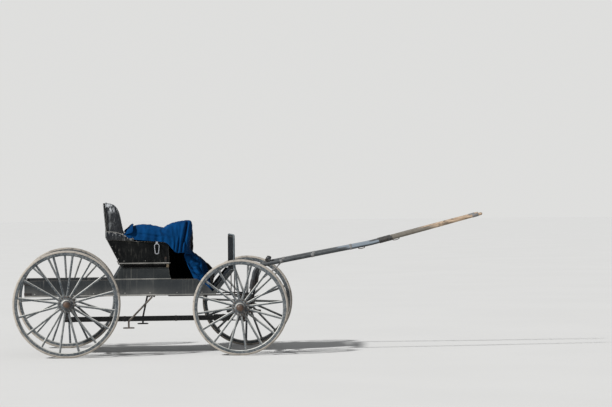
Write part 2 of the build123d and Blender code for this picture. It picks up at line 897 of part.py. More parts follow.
king_bolt_foot = reach_foot - strap_thickness
with BuildPart() as king_bolt:
    with BuildSketch(level(king_bolt_foot - king_bolt_nut)):
        with Locations((wheelbase, 0)):
            RegularPolygon(king_bolt_radius * 1.7, 6)
    extrude(amount=king_bolt_nut)
    with BuildSketch(level(king_bolt_foot)):
        with Locations((wheelbase, 0)):
            Circle(king_bolt_radius)
    extrude(amount=head_block_top - king_bolt_foot)
finish(king_bolt, "king_bolt")


# Springs: an elliptic pair of leaf packs, the lower one carrying the eyes at its ends
def elliptic_spring(station, foot, top, half_length):
    plane = across(station - spring_width / 2)
    middle = (foot + top) / 2
    eye_top = middle + spring_eye_radius
    low = foot + spring_clip_height
    high = top - spring_clip_height
    with BuildPart() as spring:
        for sign, end_height, crown in ((-1, middle - spring_eye_radius, low), (1, eye_top, high)):
            # columns: leaf's half length, how far it lies outside the main leaf
            for leaf_half, depth in (
                (half_length, 2 * spring_leaf),
                (half_length * 0.72, spring_leaf),
                (half_length * 0.42, 0),
            ):
                share = (leaf_half / half_length) ** 2
                inner_crown = crown - sign * depth
                outer_crown = inner_crown - sign * spring_leaf
                inner_end = inner_crown + (end_height - (crown - sign * 2 * spring_leaf)) * share
                with BuildSketch(plane):
                    with BuildLine():
                        ThreePointArc((-leaf_half, inner_end), (0, inner_crown), (leaf_half, inner_end))
                        Line((leaf_half, inner_end), (leaf_half, inner_end - sign * spring_leaf))
                        ThreePointArc(
                            (leaf_half, inner_end - sign * spring_leaf),
                            (0, outer_crown),
                            (-leaf_half, inner_end - sign * spring_leaf),
                        )
                        Line((-leaf_half, inner_end - sign * spring_leaf), (-leaf_half, inner_end))
                    make_face()
                extrude(amount=spring_width)
        with BuildSketch(plane):
            with Locations((-half_length, middle), (half_length, middle)):
                Circle(spring_eye_radius + spring_leaf / 2)
        extrude(amount=spring_width)
        pack_depth = spring_clip_height + 3 * spring_leaf + spring_clip_wall
        with BuildSketch(across(station - spring_width / 2 - spring_clip_wall)):
            with Locations((0, foot + pack_depth / 2), (0, top - pack_depth / 2)):
                Rectangle(spring_clip_length, pack_depth)
        extrude(amount=spring_width + 2 * spring_clip_wall)
    return spring


# columns: name, station, foot, top, half length, bar's height, bar's half length
spring_rows = (
    (
        "rear",
        0,
        rear_bed_height + axle_bar / 2,
        rear_bar_foot,
        rear_spring_half_length,
        rear_spring_bar_height,
        inside_half_width - 20,
    ),
    (
        "front",
        wheelbase,
        head_block_top,
        front_bar_foot,
        front_spring_half_length,
        front_spring_bar_height,
        body_iron_y + 40,
    ),
)
for name, station, foot, top, half_length, bar_height, bar_half in spring_rows:
    finish(elliptic_spring(station, foot, top, half_length), f"{name}_spring")
    with BuildPart() as spring_bar:
        with BuildSketch(level(top)):
            with Locations((station, 0)):
                Rectangle(spring_bar_width, 2 * bar_half)
        extrude(amount=bar_height)
        fillet(spring_bar.edges().filter_by(Axis.X).group_by(Axis.Z)[0], radius=bar_height * 0.6)
    finish(spring_bar, f"{name}_spring_bar")


# Wheels, each made about its own axle line with local z outward and turned onto its spindle
def wheel_parts(radius, phase):
    """Hub, spokes with felloe, and tyre of one wheel of the given radius."""
    felloe_outer = radius - tyre_depth
    felloe_inner = felloe_outer - felloe_depth
    root_z = (flange_inner + flange_outer) / 2
    root_gap = flange_outer - flange_inner - 2 * flange_thickness
    hub_bore = spindle_radius + running_clearance

    with BuildPart() as hub:
        with BuildSketch(Plane.XZ):
            with BuildLine():
                Polyline(
                    (hub_bore, hub_inner_end),
                    (hub_heel_radius, hub_inner_end),
                    (hub_barrel_radius, flange_inner - 14),
                    (hub_barrel_radius + 4, flange_inner),
                    (flange_radius, flange_inner),
                    (flange_radius, flange_inner + flange_thickness),
                    (hub_drum_radius, flange_inner + flange_thickness),
                    (hub_drum_radius, flange_outer - flange_thickness),
                    (flange_radius, flange_outer - flange_thickness),
                    (flange_radius, flange_outer),
                    (hub_barrel_radius + 4, flange_outer),
                    (hub_barrel_radius, flange_outer + 12),
                    (hub_nose_radius, hub_outer_end - nose_band_length),
                    (hub_nose_radius + nose_band_depth, hub_outer_end - nose_band_length),
                    (hub_nose_radius + nose_band_depth, hub_outer_end),
                    (hub_bore, hub_outer_end),
                    close=True,
                )
            make_face()
        revolve(axis=Axis.Z)

    # columns: distance from the hub's centre, width round the wheel, thickness, share of the dish
    spoke_rows = (
        (hub_drum_radius + seat_clearance, 20, root_gap - 2 * seat_clearance, 0),
        (flange_radius + 6, 23, root_gap - 2 * seat_clearance, 0),
        (felloe_inner * 0.52, 20, 23, 0.5),
        (felloe_inner + 3, 22, 21, 1),
    )
    with BuildPart() as spoke:
        for distance, width, thickness, dish_share in spoke_rows:
            section_z = root_z * (1 - dish_share)
            with BuildSketch(Plane(origin=(distance, 0, section_z), x_dir=(0, 1, 0), z_dir=(1, 0, 0))):
                section = Rectangle(width, thickness)
                chamfer(section.vertices(), 5.5)
        loft(ruled=True)

    with BuildPart() as spokes:
        with BuildSketch(Plane.XZ) as felloe_section:
            with Locations(((felloe_inner + felloe_outer) / 2, 0)):
                Rectangle(felloe_depth, felloe_width)
            chamfer(felloe_section.vertices().sort_by(Axis.X)[:2], 7)
        revolve(axis=Axis.Z)
        with PolarLocations(0, spoke_count, start_angle=phase):
            add(spoke.part)

    with BuildPart() as tyre:
        with BuildSketch(Plane.XZ):
            with BuildLine():
                Polyline(
                    (felloe_outer, -tyre_width / 2),
                    (felloe_outer, tyre_width / 2),
                    (radius, tyre_width / 2 - tyre_slope),
                    (radius, -tyre_width / 2 + tyre_slope),
                    close=True,
                )
            make_face()
        revolve(axis=Axis.Z)
    return {"hub": hub, "spokes": spokes, "tyre": tyre}


# columns: name, frame of its axle, sign of its side, radius, angle of its first spoke
wheel_rows = (
    ("rear_right", Location((rear_axle_x, 0, 0)), -1, rear_wheel_radius, 82),
    ("rear_left", Location((rear_axle_x, 0, 0)), 1, rear_wheel_radius, 87),
    ("front_right", gear, -1, front_wheel_radius, 97.4),
    ("front_left", gear, 1, front_wheel_radius, 92),
)
for name, frame, sign, radius, phase in wheel_rows:
    hub_plane = Plane(origin=(0, sign * track / 2, radius), x_dir=(1, 0, 0), z_dir=(0, sign, 0))
    for kind, piece in wheel_parts(radius, phase).items():
        piece.part = piece.part.moved(frame * hub_plane.location)
        finish(piece, f"wheel_{name}_{kind}")


# Shafts, in upright planes that close in towards the tips, hinged on pins ahead of the front axle
def shaft_plane(sign):
    """Upright plane of one shaft: local x is forward of the heel pin, local y is height."""
    closing = radians(shaft_closing)
    return on_gear(
        Plane(
            origin=(shaft_pivot[0], sign * shaft_heel_y, 0),
            x_dir=(cos(closing), -sign * sin(closing), 0),
            z_dir=(-sign * sin(closing), -cos(closing), 0),
        )
    )


def from_pivot(point):
    """A point of the shaft's side view, measured from the heel pin's station."""
    return (point[0] - shaft_pivot[0], point[1])


front_slope = (shaft_tip[1] - shaft_bend[1]) / (shaft_tip[0] - shaft_bend[0])
taper_point = (shaft_taper_start, shaft_bend[1] + front_slope * (shaft_taper_start - shaft_bend[0]))
heel_y_fall = tan(radians(shaft_closing))
crossbar_shaft_height = shaft_knee[1] + (crossbar_station - shaft_knee[0]) * (
    shaft_bend[1] - shaft_knee[1]
) / (shaft_bend[0] - shaft_knee[0])
shaft_bodies = []
for name, sign in (("right", -1), ("left", 1)):
    plane = shaft_plane(sign)
    with BuildPart() as shaft:
        with BuildLine(plane):
            bow = FilletPolyline(
                from_pivot(shaft_heel),
                from_pivot(shaft_knee),
                from_pivot(shaft_bend),
                from_pivot(taper_point),
                radius=[shaft_knee_radius, shaft_bend_radius],
            )
        with BuildSketch(Plane(origin=bow @ 0, z_dir=bow % 0)):
            Circle(shaft_radius)
        sweep(path=bow)
        tip_start = bow @ 1
        tip_end = plane.from_local_coords(Vector(*from_pivot(shaft_tip)))
        with BuildSketch(Plane(origin=tip_start, z_dir=bow % 1)):
            Circle(shaft_radius)
        with BuildSketch(Plane(origin=tip_end, z_dir=bow % 1)):
            Circle(shaft_tip_radius)
        loft(ruled=True)
        with Locations(tip_end):
            Sphere(shaft_tip_radius)
    shaft_bodies.append(shaft.part)
    finish(shaft, f"shaft_{name}")

    ferrule_start = bow @ 0 - (bow % 0) * heel_neck_depth
    with BuildPart() as shaft_iron:
        with BuildSketch(Plane(origin=ferrule_start, z_dir=bow % 0)):
            Circle(shaft_radius + ferrule_wall)
        extrude(amount=heel_neck_depth + ferrule_length)
        neck_half = heel_neck_depth / 2
        neck_top = Vector(*from_pivot(shaft_heel))
        with BuildSketch(plane):
            with BuildLine():
                Polyline(
                    (-neck_half, shaft_pivot[1]),
                    (neck_half, shaft_pivot[1]),
                    (neck_top.X + neck_half, neck_top.Y),
                    (neck_top.X - neck_half, neck_top.Y),
                    close=True,
                )
            make_face()
        extrude(amount=heel_neck_width / 2, both=True)
        with BuildSketch(Plane(origin=bow @ 0, z_dir=bow % 0)):
            Circle(shaft_radius)
        extrude(amount=ferrule_length, mode=Mode.SUBTRACT)
        with BuildSketch(on_gear(Plane.XZ.offset(-sign * shaft_heel_y))):
            with Locations(shaft_pivot):
                Circle(pivot_boss_radius)
        extrude(amount=ear_gap / 2 - 1, both=True)
        with BuildSketch(on_gear(Plane.XZ.offset(-sign * shaft_heel_y))):
            with Locations(shaft_pivot):
                Circle(pivot_pin_radius + running_clearance)
        extrude(amount=ear_gap, both=True, mode=Mode.SUBTRACT)
    finish(shaft_iron, f"shaft_iron_{name}")

# Crossbar between the shafts, with the wear plate and bolt of the singletree
shaft_gap_half = shaft_heel_y - (crossbar_station - shaft_pivot[0]) * heel_y_fall
crossbar_top = crossbar_shaft_height + crossbar_height / 2
plate_top = crossbar_top + singletree_plate
tree_flat = singletree_mid_radius - 3
tree_middle = plate_top + fifth_wheel_play + tree_flat
bolt_head = 8
with BuildPart() as crossbar:
    with BuildSketch(on_gear(Plane.XY.offset(crossbar_top - crossbar_height))):
        with Locations((crossbar_station, 0)):
            Rectangle(crossbar_depth, 2 * shaft_gap_half)
    extrude(amount=crossbar_height)
    for shaft_body in shaft_bodies:
        add(shaft_body, mode=Mode.SUBTRACT)
    with BuildSketch(on_gear(Plane.XY.offset(crossbar_top))):
        with Locations((crossbar_station, 0)):
            RectangleRounded(crossbar_depth, 90, 10)
    extrude(amount=singletree_plate)
    with BuildSketch(on_gear(Plane.XY.offset(crossbar_top))):
        with Locations((crossbar_station, 0)):
            Circle(singletree_bolt_radius)
    extrude(amount=tree_middle + singletree_mid_radius + 1 - crossbar_top)
    with BuildSketch(on_gear(Plane.XY.offset(tree_middle + singletree_mid_radius + 1))):
        with Locations((crossbar_station, 0)):
            RegularPolygon(singletree_bolt_radius * 1.7, 6)
    extrude(amount=bolt_head)
finish(crossbar, "crossbar")

tree_ferrule = 30
tree_pin_radius = 9
tree_pin_length = 26
with BuildPart() as singletree:
    tree_plane = on_gear(Plane(origin=(crossbar_station, 0, tree_middle), x_dir=(0, 1, 0), z_dir=(0, 0, 1)))
    with BuildSketch(tree_plane):
        with BuildLine():
            Polyline(
                (0, 0),
                (singletree_half_length, 0),
                (singletree_half_length, tree_pin_radius),
                (singletree_half_length - tree_pin_length, tree_pin_radius),
                (singletree_half_length - tree_pin_length, singletree_end_radius + 2),
                (singletree_half_length - tree_pin_length - tree_ferrule, singletree_end_radius + 2),
                (singletree_half_length - tree_pin_length - tree_ferrule, singletree_end_radius),
                (70, singletree_mid_radius),
                (0, singletree_mid_radius),
                close=True,
            )
        make_face()
    revolve(axis=Axis(tree_plane.origin, tree_plane.x_dir))
    mirror(about=on_gear(Plane.XZ))
    with BuildSketch(on_gear(Plane.XY.offset(tree_middle - tree_flat))):
        with Locations((crossbar_station, 0)):
            Rectangle(3 * singletree_mid_radius, 2 * singletree_half_length)
    extrude(amount=-singletree_mid_radius, mode=Mode.SUBTRACT)
    with BuildSketch(on_gear(Plane.XY.offset(tree_middle - singletree_mid_radius))):
        with Locations((crossbar_station, 0)):
            Circle(singletree_bolt_radius + running_clearance)
    extrude(amount=2 * singletree_mid_radius, mode=Mode.SUBTRACT)
finish(singletree, "singletree")

print("rear axle x", round(rear_axle_x, 3), "king bolt x", round(king_x, 3))
print("overall length", round(overall_length, 3))
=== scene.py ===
# Looks of an open horse-drawn buggy: dusty charcoal paint, weathered grey-blue wheels, crinkled
# black leather and a blue lap robe. Metres, +X forward, +Y to the buggy's left, +Z up.

import json
import math

import bmesh
import bpy
from mathutils import Matrix, Vector, noise


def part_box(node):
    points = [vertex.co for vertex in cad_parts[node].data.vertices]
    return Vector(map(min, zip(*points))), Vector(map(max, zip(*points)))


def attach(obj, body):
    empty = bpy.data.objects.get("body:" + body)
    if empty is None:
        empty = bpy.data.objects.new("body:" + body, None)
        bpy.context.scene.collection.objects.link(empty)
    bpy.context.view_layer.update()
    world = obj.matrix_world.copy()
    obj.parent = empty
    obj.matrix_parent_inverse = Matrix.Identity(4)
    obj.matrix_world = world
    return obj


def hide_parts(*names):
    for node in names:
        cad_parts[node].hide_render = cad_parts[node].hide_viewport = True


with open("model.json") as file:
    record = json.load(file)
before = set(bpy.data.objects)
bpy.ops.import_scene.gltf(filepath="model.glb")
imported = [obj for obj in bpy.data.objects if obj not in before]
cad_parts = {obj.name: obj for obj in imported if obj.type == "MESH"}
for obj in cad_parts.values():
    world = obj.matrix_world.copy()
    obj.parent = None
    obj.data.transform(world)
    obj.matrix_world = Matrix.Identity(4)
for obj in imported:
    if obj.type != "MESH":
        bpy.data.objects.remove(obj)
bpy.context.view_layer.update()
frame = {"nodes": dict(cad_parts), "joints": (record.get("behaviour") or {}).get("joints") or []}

NODES = frame["nodes"]
JOINTS = {joint["name"]: joint for joint in frame["joints"]}
WHEELS = ("rear_right", "rear_left", "front_right", "front_left")
SIDES = (("right", -1), ("left", 1))
SIGNS = (-1, 1)
UP = Vector((0, 0, 1))
DOWN = Vector((0, 0, -1))
AHEAD = Vector((1, 0, 0))
BACK = Vector((-1, 0, 0))
LEFT = Vector((0, 1, 0))

# The turning front gear: its king bolt on the floor plane and the ways forward and left on it
KING = Vector(JOINTS["steering"]["pos_m"]) * Vector((1, 1, 0))
GEAR_LEFT = Vector(JOINTS["front_right_wheel"]["axis"])
GEAR_AHEAD = GEAR_LEFT.cross(UP)
REAR_AXLE_X = JOINTS["rear_right_wheel"]["pos_m"][0]


def on_gear(x, y, z):
    """A point given forward and left of the king bolt, on the gear as it stands."""
    return KING + GEAR_AHEAD * x + GEAR_LEFT * y + UP * z


def on_body(x, y, z):
    """A point given forward of the rear axle."""
    return Vector((station(x), y, z))


def station(x):
    """The X of a place given forward of the rear axle."""
    return REAR_AXLE_X + x


# Finishes


class Finish:
    """The node tree of one material, with short calls for the nodes that the finishes share."""

    def __init__(self, name, roughness=0.6, metallic=0.0):
        self.material = bpy.data.materials.new(name)
        self.material.use_nodes = True
        self.tree = self.material.node_tree
        self.shader = self.tree.nodes["Principled BSDF"]
        self.shader.inputs["Roughness"].default_value = roughness
        self.shader.inputs["Metallic"].default_value = metallic
        self.coords = self.tree.nodes.new("ShaderNodeTexCoord").outputs["Object"]
        self.geometry = self.tree.nodes.new("ShaderNodeNewGeometry")

    def put(self, value, socket):
        """Gives a socket a link or a value; None leaves it as it is."""
        if isinstance(value, bpy.types.NodeSocket):
            self.tree.links.new(value, socket)
        elif value is not None:
            socket.default_value = value

    def node(self, kind, given, **settings):
        """A new node with its settings, and what is given to its inputs."""
        made = self.tree.nodes.new(kind)
        for setting, value in settings.items():
            setattr(made, setting, value)
        for key, value in given.items():
            self.put(value, made.inputs[key])
        return made

    def scaled(self, scale, turn=(0, 0, 0), shift=(0, 0, 0)):
        given = {"Vector": self.coords, "Scale": scale, "Rotation": turn, "Location": shift}
        return self.node("ShaderNodeMapping", given).outputs["Vector"]

    def noise(self, scale, vector=None, detail=4.0, roughness=0.6, distortion=0.0):
        given = {"Vector": vector or self.coords, "Scale": scale, "Detail": detail}
        given |= {"Roughness": roughness, "Distortion": distortion}
        return self.node("ShaderNodeTexNoise", given).outputs["Fac"]

    def cells(self, scale, vector=None, feature="DISTANCE_TO_EDGE"):
        given = {"Vector": vector or self.coords, "Scale": scale}
        return self.node("ShaderNodeTexVoronoi", given, feature=feature).outputs["Distance"]

    def fade(self, value, low, high, start=0.0, end=1.0):
        """Goes smoothly from start to end while the value goes from low to high."""
        given = dict(enumerate((value, low, high, start, end)))
        return self.node("ShaderNodeMapRange", given, interpolation_type="SMOOTHSTEP").outputs[0]

    def reckon(self, kind, first, second=None):
        return self.node("ShaderNodeMath", {0: first, 1: second}, operation=kind).outputs[0]

    def plus(self, first, second):
        return self.reckon("ADD", first, second)

    def times(self, *shares):
        product = shares[0]
        for share in shares[1:]:
            product = self.reckon("MULTIPLY", product, share)
        return product

    def mix(self, share, first, second):
        given = {0: share}
        for key, value in ((6, first), (7, second)):
            given[key] = (*value, 1.0) if isinstance(value, tuple) else value
        return self.node("ShaderNodeMix", given, data_type="RGBA").outputs[2]

    def coat(self, under, over, *shares):
        """One colour over another, as thick as the product of the shares."""
        return self.mix(self.times(*shares), under, over)

    def axis(self, name, vector=None):
        return self.node("ShaderNodeSeparateXYZ", {0: vector or self.coords}).outputs[name]

    def facing_up(self, low, high):
        """How far the surface faces up, between two shares."""
        return self.fade(self.axis("Z", self.geometry.outputs["Normal"]), low, high)

    def edges(self, width, low=0.02, high=0.25):
        """Where the surface turns a corner, by the rounded normal's lean from the flat one."""
        bevel = self.node("ShaderNodeBevel", {"Radius": width}, samples=4)
        normals = {0: bevel.outputs[0], 1: self.geometry.outputs["True Normal"]}
        dot = self.node("ShaderNodeVectorMath", normals, operation="DOT_PRODUCT")
        return self.fade(self.reckon("SUBTRACT", 1.0, dot.outputs["Value"]), low, high)

    def bump(self, height, strength, distance, normal=None):
        given = {"Height": height, "Strength": strength, "Distance": distance, "Normal": normal}
        return self.node("ShaderNodeBump", given).outputs["Normal"]

    def done(self, color, roughness=None, normal=None):
        self.put(color, self.shader.inputs["Base Color"])
        self.put(roughness, self.shader.inputs["Roughness"])
        self.put(normal, self.shader.inputs["Normal"])
        return self.material


DUST = (0.175, 0.172, 0.162)
PALE_DUST = (0.36, 0.345, 0.31)
ROAD_DUST = (0.39, 0.355, 0.31)
SPLASH_HEIGHT = 0.12
SHARP_EDGE = 0.001


def painted_planks(name, base, streak, sill=None, streaks=0.3, edge_wear=0.6, shine=0.3, recess=None):
    """Old charcoal paint with grain under it, dust run down in streaks and pale worn edges."""
    finish = Finish(name)
    finish.shader.inputs["Specular IOR Level"].default_value = shine
    grain = finish.noise(3.0, finish.scaled((2.0, 30.0, 30.0)), detail=6.0)
    runs = finish.noise(1.0, finish.scaled((70.0, 70.0, 2.4)), detail=5.0, roughness=0.65)
    wide = finish.noise(1.0, finish.scaled((14.0, 14.0, 1.2)))
    patches = finish.noise(4.5, detail=5.0, roughness=0.62)
    specks = finish.noise(210.0, detail=2.0, roughness=0.5)
    color = finish.mix(finish.fade(patches, 0.3, 0.75), base, streak)
    broad_runs = finish.fade(wide, 0.40, 0.62, 0.15, 1.0)
    color = finish.coat(color, PALE_DUST, finish.fade(runs, 0.50, 0.82), streaks, broad_runs)
    color = finish.coat(color, DUST, finish.fade(specks, 0.66, 0.80), 0.45)
    lying = finish.fade(patches, 0.25, 0.6, 0.35, 0.75)
    color = finish.coat(color, DUST, finish.facing_up(0.4, 0.95), lying)
    if sill is not None:
        splashed = finish.fade(finish.axis("Z"), sill, sill + SPLASH_HEIGHT, 0.5, 0.0)
        color = finish.coat(color, DUST, splashed, finish.fade(patches, 0.35, 0.65, 0.3, 1.0))
    rubbed = finish.fade(patches, 0.38, 0.6, 0.2, edge_wear)
    color = finish.coat(color, PALE_DUST, finish.edges(0.004), rubbed)
    # Painted shade and light: in a given recess the band under the seat's overhang is painted near black
    # for its shade. Its front end is a pale bare-wood tan, partly bare wood and partly painted light for
    # the sun on that corner.
    if recess is not None:
        foot, rear, front = recess
        above = finish.fade(finish.axis("Z"), foot, foot + SHARP_EDGE)
        behind_front = finish.fade(finish.axis("X"), front - SHARP_EDGE, front, 1.0, 0.0)
        past_rear = finish.fade(finish.axis("X"), rear, rear + SHARP_EDGE)
        past_front = finish.fade(finish.axis("X"), front - SHARP_EDGE, front)
        color = finish.coat(color, (0.004, 0.004, 0.004), above, behind_front, past_rear)
        bare_wood_and_light = finish.mix(grain, (0.20, 0.15, 0.095), (0.42, 0.34, 0.24))
        color = finish.coat(color, bare_wood_and_light, above, past_front)
    rough = finish.fade(runs, 0.35, 0.7, 0.5, 0.8)
    height = finish.plus(grain, finish.times(specks, 0.4))
    return finish.done(color, rough, finish.bump(height, 0.35, 0.0015))


def crinkled_leather(name, base, dull, matt=0.33, wrinkle=38.0, dust=0.12, rubbed=None, shine=0.5):
    """Black leather gone to small sharp wrinkles, dusty in the folds; where rubbed is given, a pale
    blue-grey top of rubbed wear and painted sky highlight, with grey painted highlight streaks.
    """
    finish = Finish(name)
    finish.shader.inputs["Specular IOR Level"].default_value = shine
    folds = finish.cells(wrinkle, finish.scaled((1.0, 1.0, 0.7)))
    swirl = finish.noise(16.0, finish.scaled((1.0, 1.0, 0.55)), detail=5.0, distortion=1.6)
    pores = finish.cells(420.0, feature="F1")
    wear = finish.noise(6.0)
    color = finish.mix(finish.fade(swirl, 0.45, 0.8), base, dull)
    # Painted highlight: the pale blue-grey top patch is partly rubbed wear and partly the sky's highlight
    # on glossy leather.
    if rubbed is not None:
        low, high, front = rubbed
        spread = finish.scaled((1.0, 1.0, 0.7), shift=(0.4, 0.0, 0.2))
        flakes = finish.noise(26.0, spread, detail=2.0, roughness=0.5, distortion=1.2)
        near_top = finish.fade(finish.axis("Z"), low, high)
        behind = finish.fade(finish.axis("X"), front - 0.02, front + 0.01, 1.0, 0.0)
        flaked = finish.fade(flakes, 0.44, 0.56)
        color = finish.coat(color, (0.50, 0.52, 0.54), near_top, flaked, behind, 0.9)
        # Painted highlight: the leaning grey streaks stand for long highlights on the leather.
        leaning = finish.scaled((34.0, 34.0, 9.0), turn=(0.0, 0.35, 0.0))
        streak = finish.noise(1.0, leaning, detail=2.0, roughness=0.5)
        color = finish.coat(color, (0.20, 0.21, 0.21), finish.fade(streak, 0.54, 0.66), 0.5)
    lying = finish.fade(wear, 0.3, 0.7, 0.1, dust)
    color = finish.coat(color, PALE_DUST, finish.facing_up(0.2, 0.9), lying)
    color = finish.coat(color, PALE_DUST, finish.edges(0.005, 0.05, 0.4), dust * 2.0)
    rough = finish.fade(swirl, 0.3, 0.7, matt, matt + 0.2)
    wrinkles = finish.reckon("MINIMUM", finish.times(folds, 5.0), 1.0)
    normal = finish.bump(wrinkles, 0.5, 0.003)
    normal = finish.bump(swirl, 0.8, 0.012, normal)
    normal = finish.bump(pores, 0.15, 0.0006, normal)
    return finish.done(color, rough, normal)


def chalky_paint(name, chalk=0.45, least_dust_and_highlight=0.45):
    """Grey-blue paint gone chalky, with bare dusty wood on the edges, and road dust with a painted
    highlight on what faces up.
    """
    finish = Finish(name)
    finish.shader.inputs["Specular IOR Level"].default_value = 0.35
    coarse = finish.noise(7.0, detail=5.0)
    fine = finish.noise(60.0)
    color = finish.mix(finish.fade(coarse, 0.3, 0.7), (0.030, 0.040, 0.049), (0.078, 0.093, 0.105))
    color = finish.mix(finish.fade(fine, 0.46, 0.66, 0.0, chalk), color, (0.30, 0.30, 0.28))
    # Painted highlight: the pale coat on what faces up, even on sides that barely do, is road dust and also
    # the sunlit tops of the spokes.
    lying = finish.fade(coarse, 0.3, 0.6, least_dust_and_highlight, 0.95)
    color = finish.coat(color, (0.56, 0.555, 0.52), finish.facing_up(-0.05, 0.4), lying)
    rubbed = finish.fade(fine, 0.35, 0.6, 0.3, 0.9)
    color = finish.coat(color, (0.46, 0.455, 0.43), finish.edges(0.0035), rubbed)
    return finish.done(color, 0.7, finish.bump(finish.plus(fine, coarse), 0.3, 0.0015))


def dusty_rubber():
    """Grey rubber under a coat of pale road dust."""
    finish = Finish("tyre_dust")
    cake = finish.noise(18.0, detail=6.0, roughness=0.65)
    color = finish.mix(finish.fade(cake, 0.28, 0.52), (0.15, 0.14, 0.125), ROAD_DUST)
    return finish.done(color, 0.9, finish.bump(cake, 0.5, 0.003))


def old_iron(name, paint, rusted=0.35, dusted=0.5):
    """Black paint on iron with rust at the edges and dust on top."""
    finish = Finish(name)
    patches = finish.noise(22.0, detail=6.0, roughness=0.65)
    fine = finish.noise(120.0, detail=3.0)
    rust = finish.mix(fine, (0.085, 0.04, 0.02), (0.19, 0.095, 0.045))
    color = finish.coat(paint, rust, finish.fade(patches, 0.45, 0.68), rusted)
    color = finish.coat(color, (0.21, 0.16, 0.12), finish.edges(0.003), 0.55)
    color = finish.coat(color, DUST, finish.facing_up(0.3, 1.0), dusted)
    height = finish.plus(patches, finish.times(fine, 0.5))
    rough = finish.fade(patches, 0.3, 0.7, 0.45, 0.8)
    return finish.done(color, rough, finish.bump(height, 0.35, 0.001))


def bare_steel():
    """Bent rod rubbed bright."""
    finish = Finish("bright_rod", metallic=1.0)
    scratch = finish.noise(90.0, detail=3.0)
    color = finish.mix(finish.fade(scratch, 0.5, 0.8), (0.62, 0.62, 0.63), (0.42, 0.40, 0.37))
    rough = finish.fade(scratch, 0.3, 0.7, 0.25, 0.45)
    return finish.done(color, rough, finish.bump(scratch, 0.1, 0.0005))


# Where the shafts' paint ends, forward of the origin: at the wrap that the harness rubs
BARE_WOOD_X = 1.32


def worn_shaft():
    """Charcoal paint from the heel to the harness, then grey and at last tan bare wood; a painted sky
    reflection lies blue-grey on the paint's top before the harness.
    """
    finish = Finish("shaft_paint")
    along = finish.axis("X")
    patches = finish.noise(16.0, detail=5.0)
    grain = finish.noise(2.0, finish.scaled((3.0, 60.0, 60.0)), detail=5.0)
    paint = finish.mix(finish.fade(patches, 0.3, 0.7), (0.018, 0.021, 0.024), (0.052, 0.058, 0.062))
    # Painted reflection: the blue-grey band on the paint's upper side from 0.88 to 1.24 m ahead is the
    # sky's sheen, though its mask is named rubbed.
    rubbed = finish.times(finish.fade(along, 0.88, 0.94), finish.fade(along, 1.21, 1.24, 1.0, 0.0))
    paint = finish.coat(paint, (0.22, 0.27, 0.32), rubbed, finish.facing_up(-0.5, 0.3), 0.75)
    paint = finish.coat(paint, PALE_DUST, finish.edges(0.003), 0.6)
    paint = finish.coat(paint, DUST, finish.facing_up(0.2, 1.0), 0.35)
    tan = finish.mix(finish.fade(grain, 0.35, 0.65), (0.27, 0.185, 0.12), (0.46, 0.345, 0.24))
    grey = finish.mix(grain, (0.090, 0.080, 0.066), (0.190, 0.168, 0.135))
    wood = finish.mix(finish.fade(along, BARE_WOOD_X + 0.36, BARE_WOOD_X + 0.48), grey, tan)
    wood = finish.mix(finish.fade(patches, 0.52, 0.66, 0.0, 0.8), wood, (0.10, 0.08, 0.06))
    ragged = finish.plus(along, finish.times(patches, 0.05))
    color = finish.mix(finish.fade(ragged, BARE_WOOD_X, BARE_WOOD_X + 0.05), paint, wood)
    rough = finish.fade(patches, 0.3, 0.7, 0.45, 0.7)
    return finish.done(color, rough, finish.bump(finish.plus(grain, patches), 0.3, 0.0015))


def robe_cloth(name, light, dark):
    """Close woven cloth with a soft nap."""
    finish = Finish(name)
    finish.shader.inputs["Specular IOR Level"].default_value = 0.06
    finish.shader.inputs["Sheen Weight"].default_value = 0.02
    finish.shader.inputs["Sheen Roughness"].default_value = 0.5
    thread_turns = 1800.0
    warp = finish.reckon("SINE", finish.times(finish.axis("X"), thread_turns))
    weft = finish.reckon("SINE", finish.times(finish.axis("Z"), thread_turns))
    mottle = finish.noise(30.0, detail=5.0, roughness=0.65)
    broad = finish.noise(5.0, detail=3.0, roughness=0.5)
    color = finish.mix(finish.fade(broad, 0.3, 0.7), dark, light)
    paler = tuple(channel * 1.35 for channel in light)
    color = finish.mix(finish.fade(mottle, 0.5, 0.78, 0.0, 0.3), color, paler)
    normal = finish.bump(mottle, 0.3, 0.004)
    normal = finish.bump(finish.times(warp, weft), 0.08, 0.0004, normal)
    return finish.done(color, 0.85, normal)


def studio_floor():
    """Pale matt board, a little mottled, so that the shadow lies soft on it."""
    finish = Finish("studio_floor", roughness=0.9)
    mottle = finish.fade(finish.noise(0.6, detail=3.0, roughness=0.5), 0.3, 0.7)
    return finish.done(finish.mix(mottle, (0.70, 0.695, 0.68), (0.715, 0.71, 0.695)))


BODY_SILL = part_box("floor")[0].z
# The riser's recess under the seat, painted shade: the height of its foot, then its rear and front ends
RISER_RECESS = (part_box("seat_bottom")[0].z - 0.032, station(0.547), station(0.957))
# The back leather's pale top, rubbed wear and painted sky highlight: where it starts and is full, and how
# far forward it reaches
BACK_RUBBED_AND_HIGHLIT = (1.350, 1.400, station(0.470))

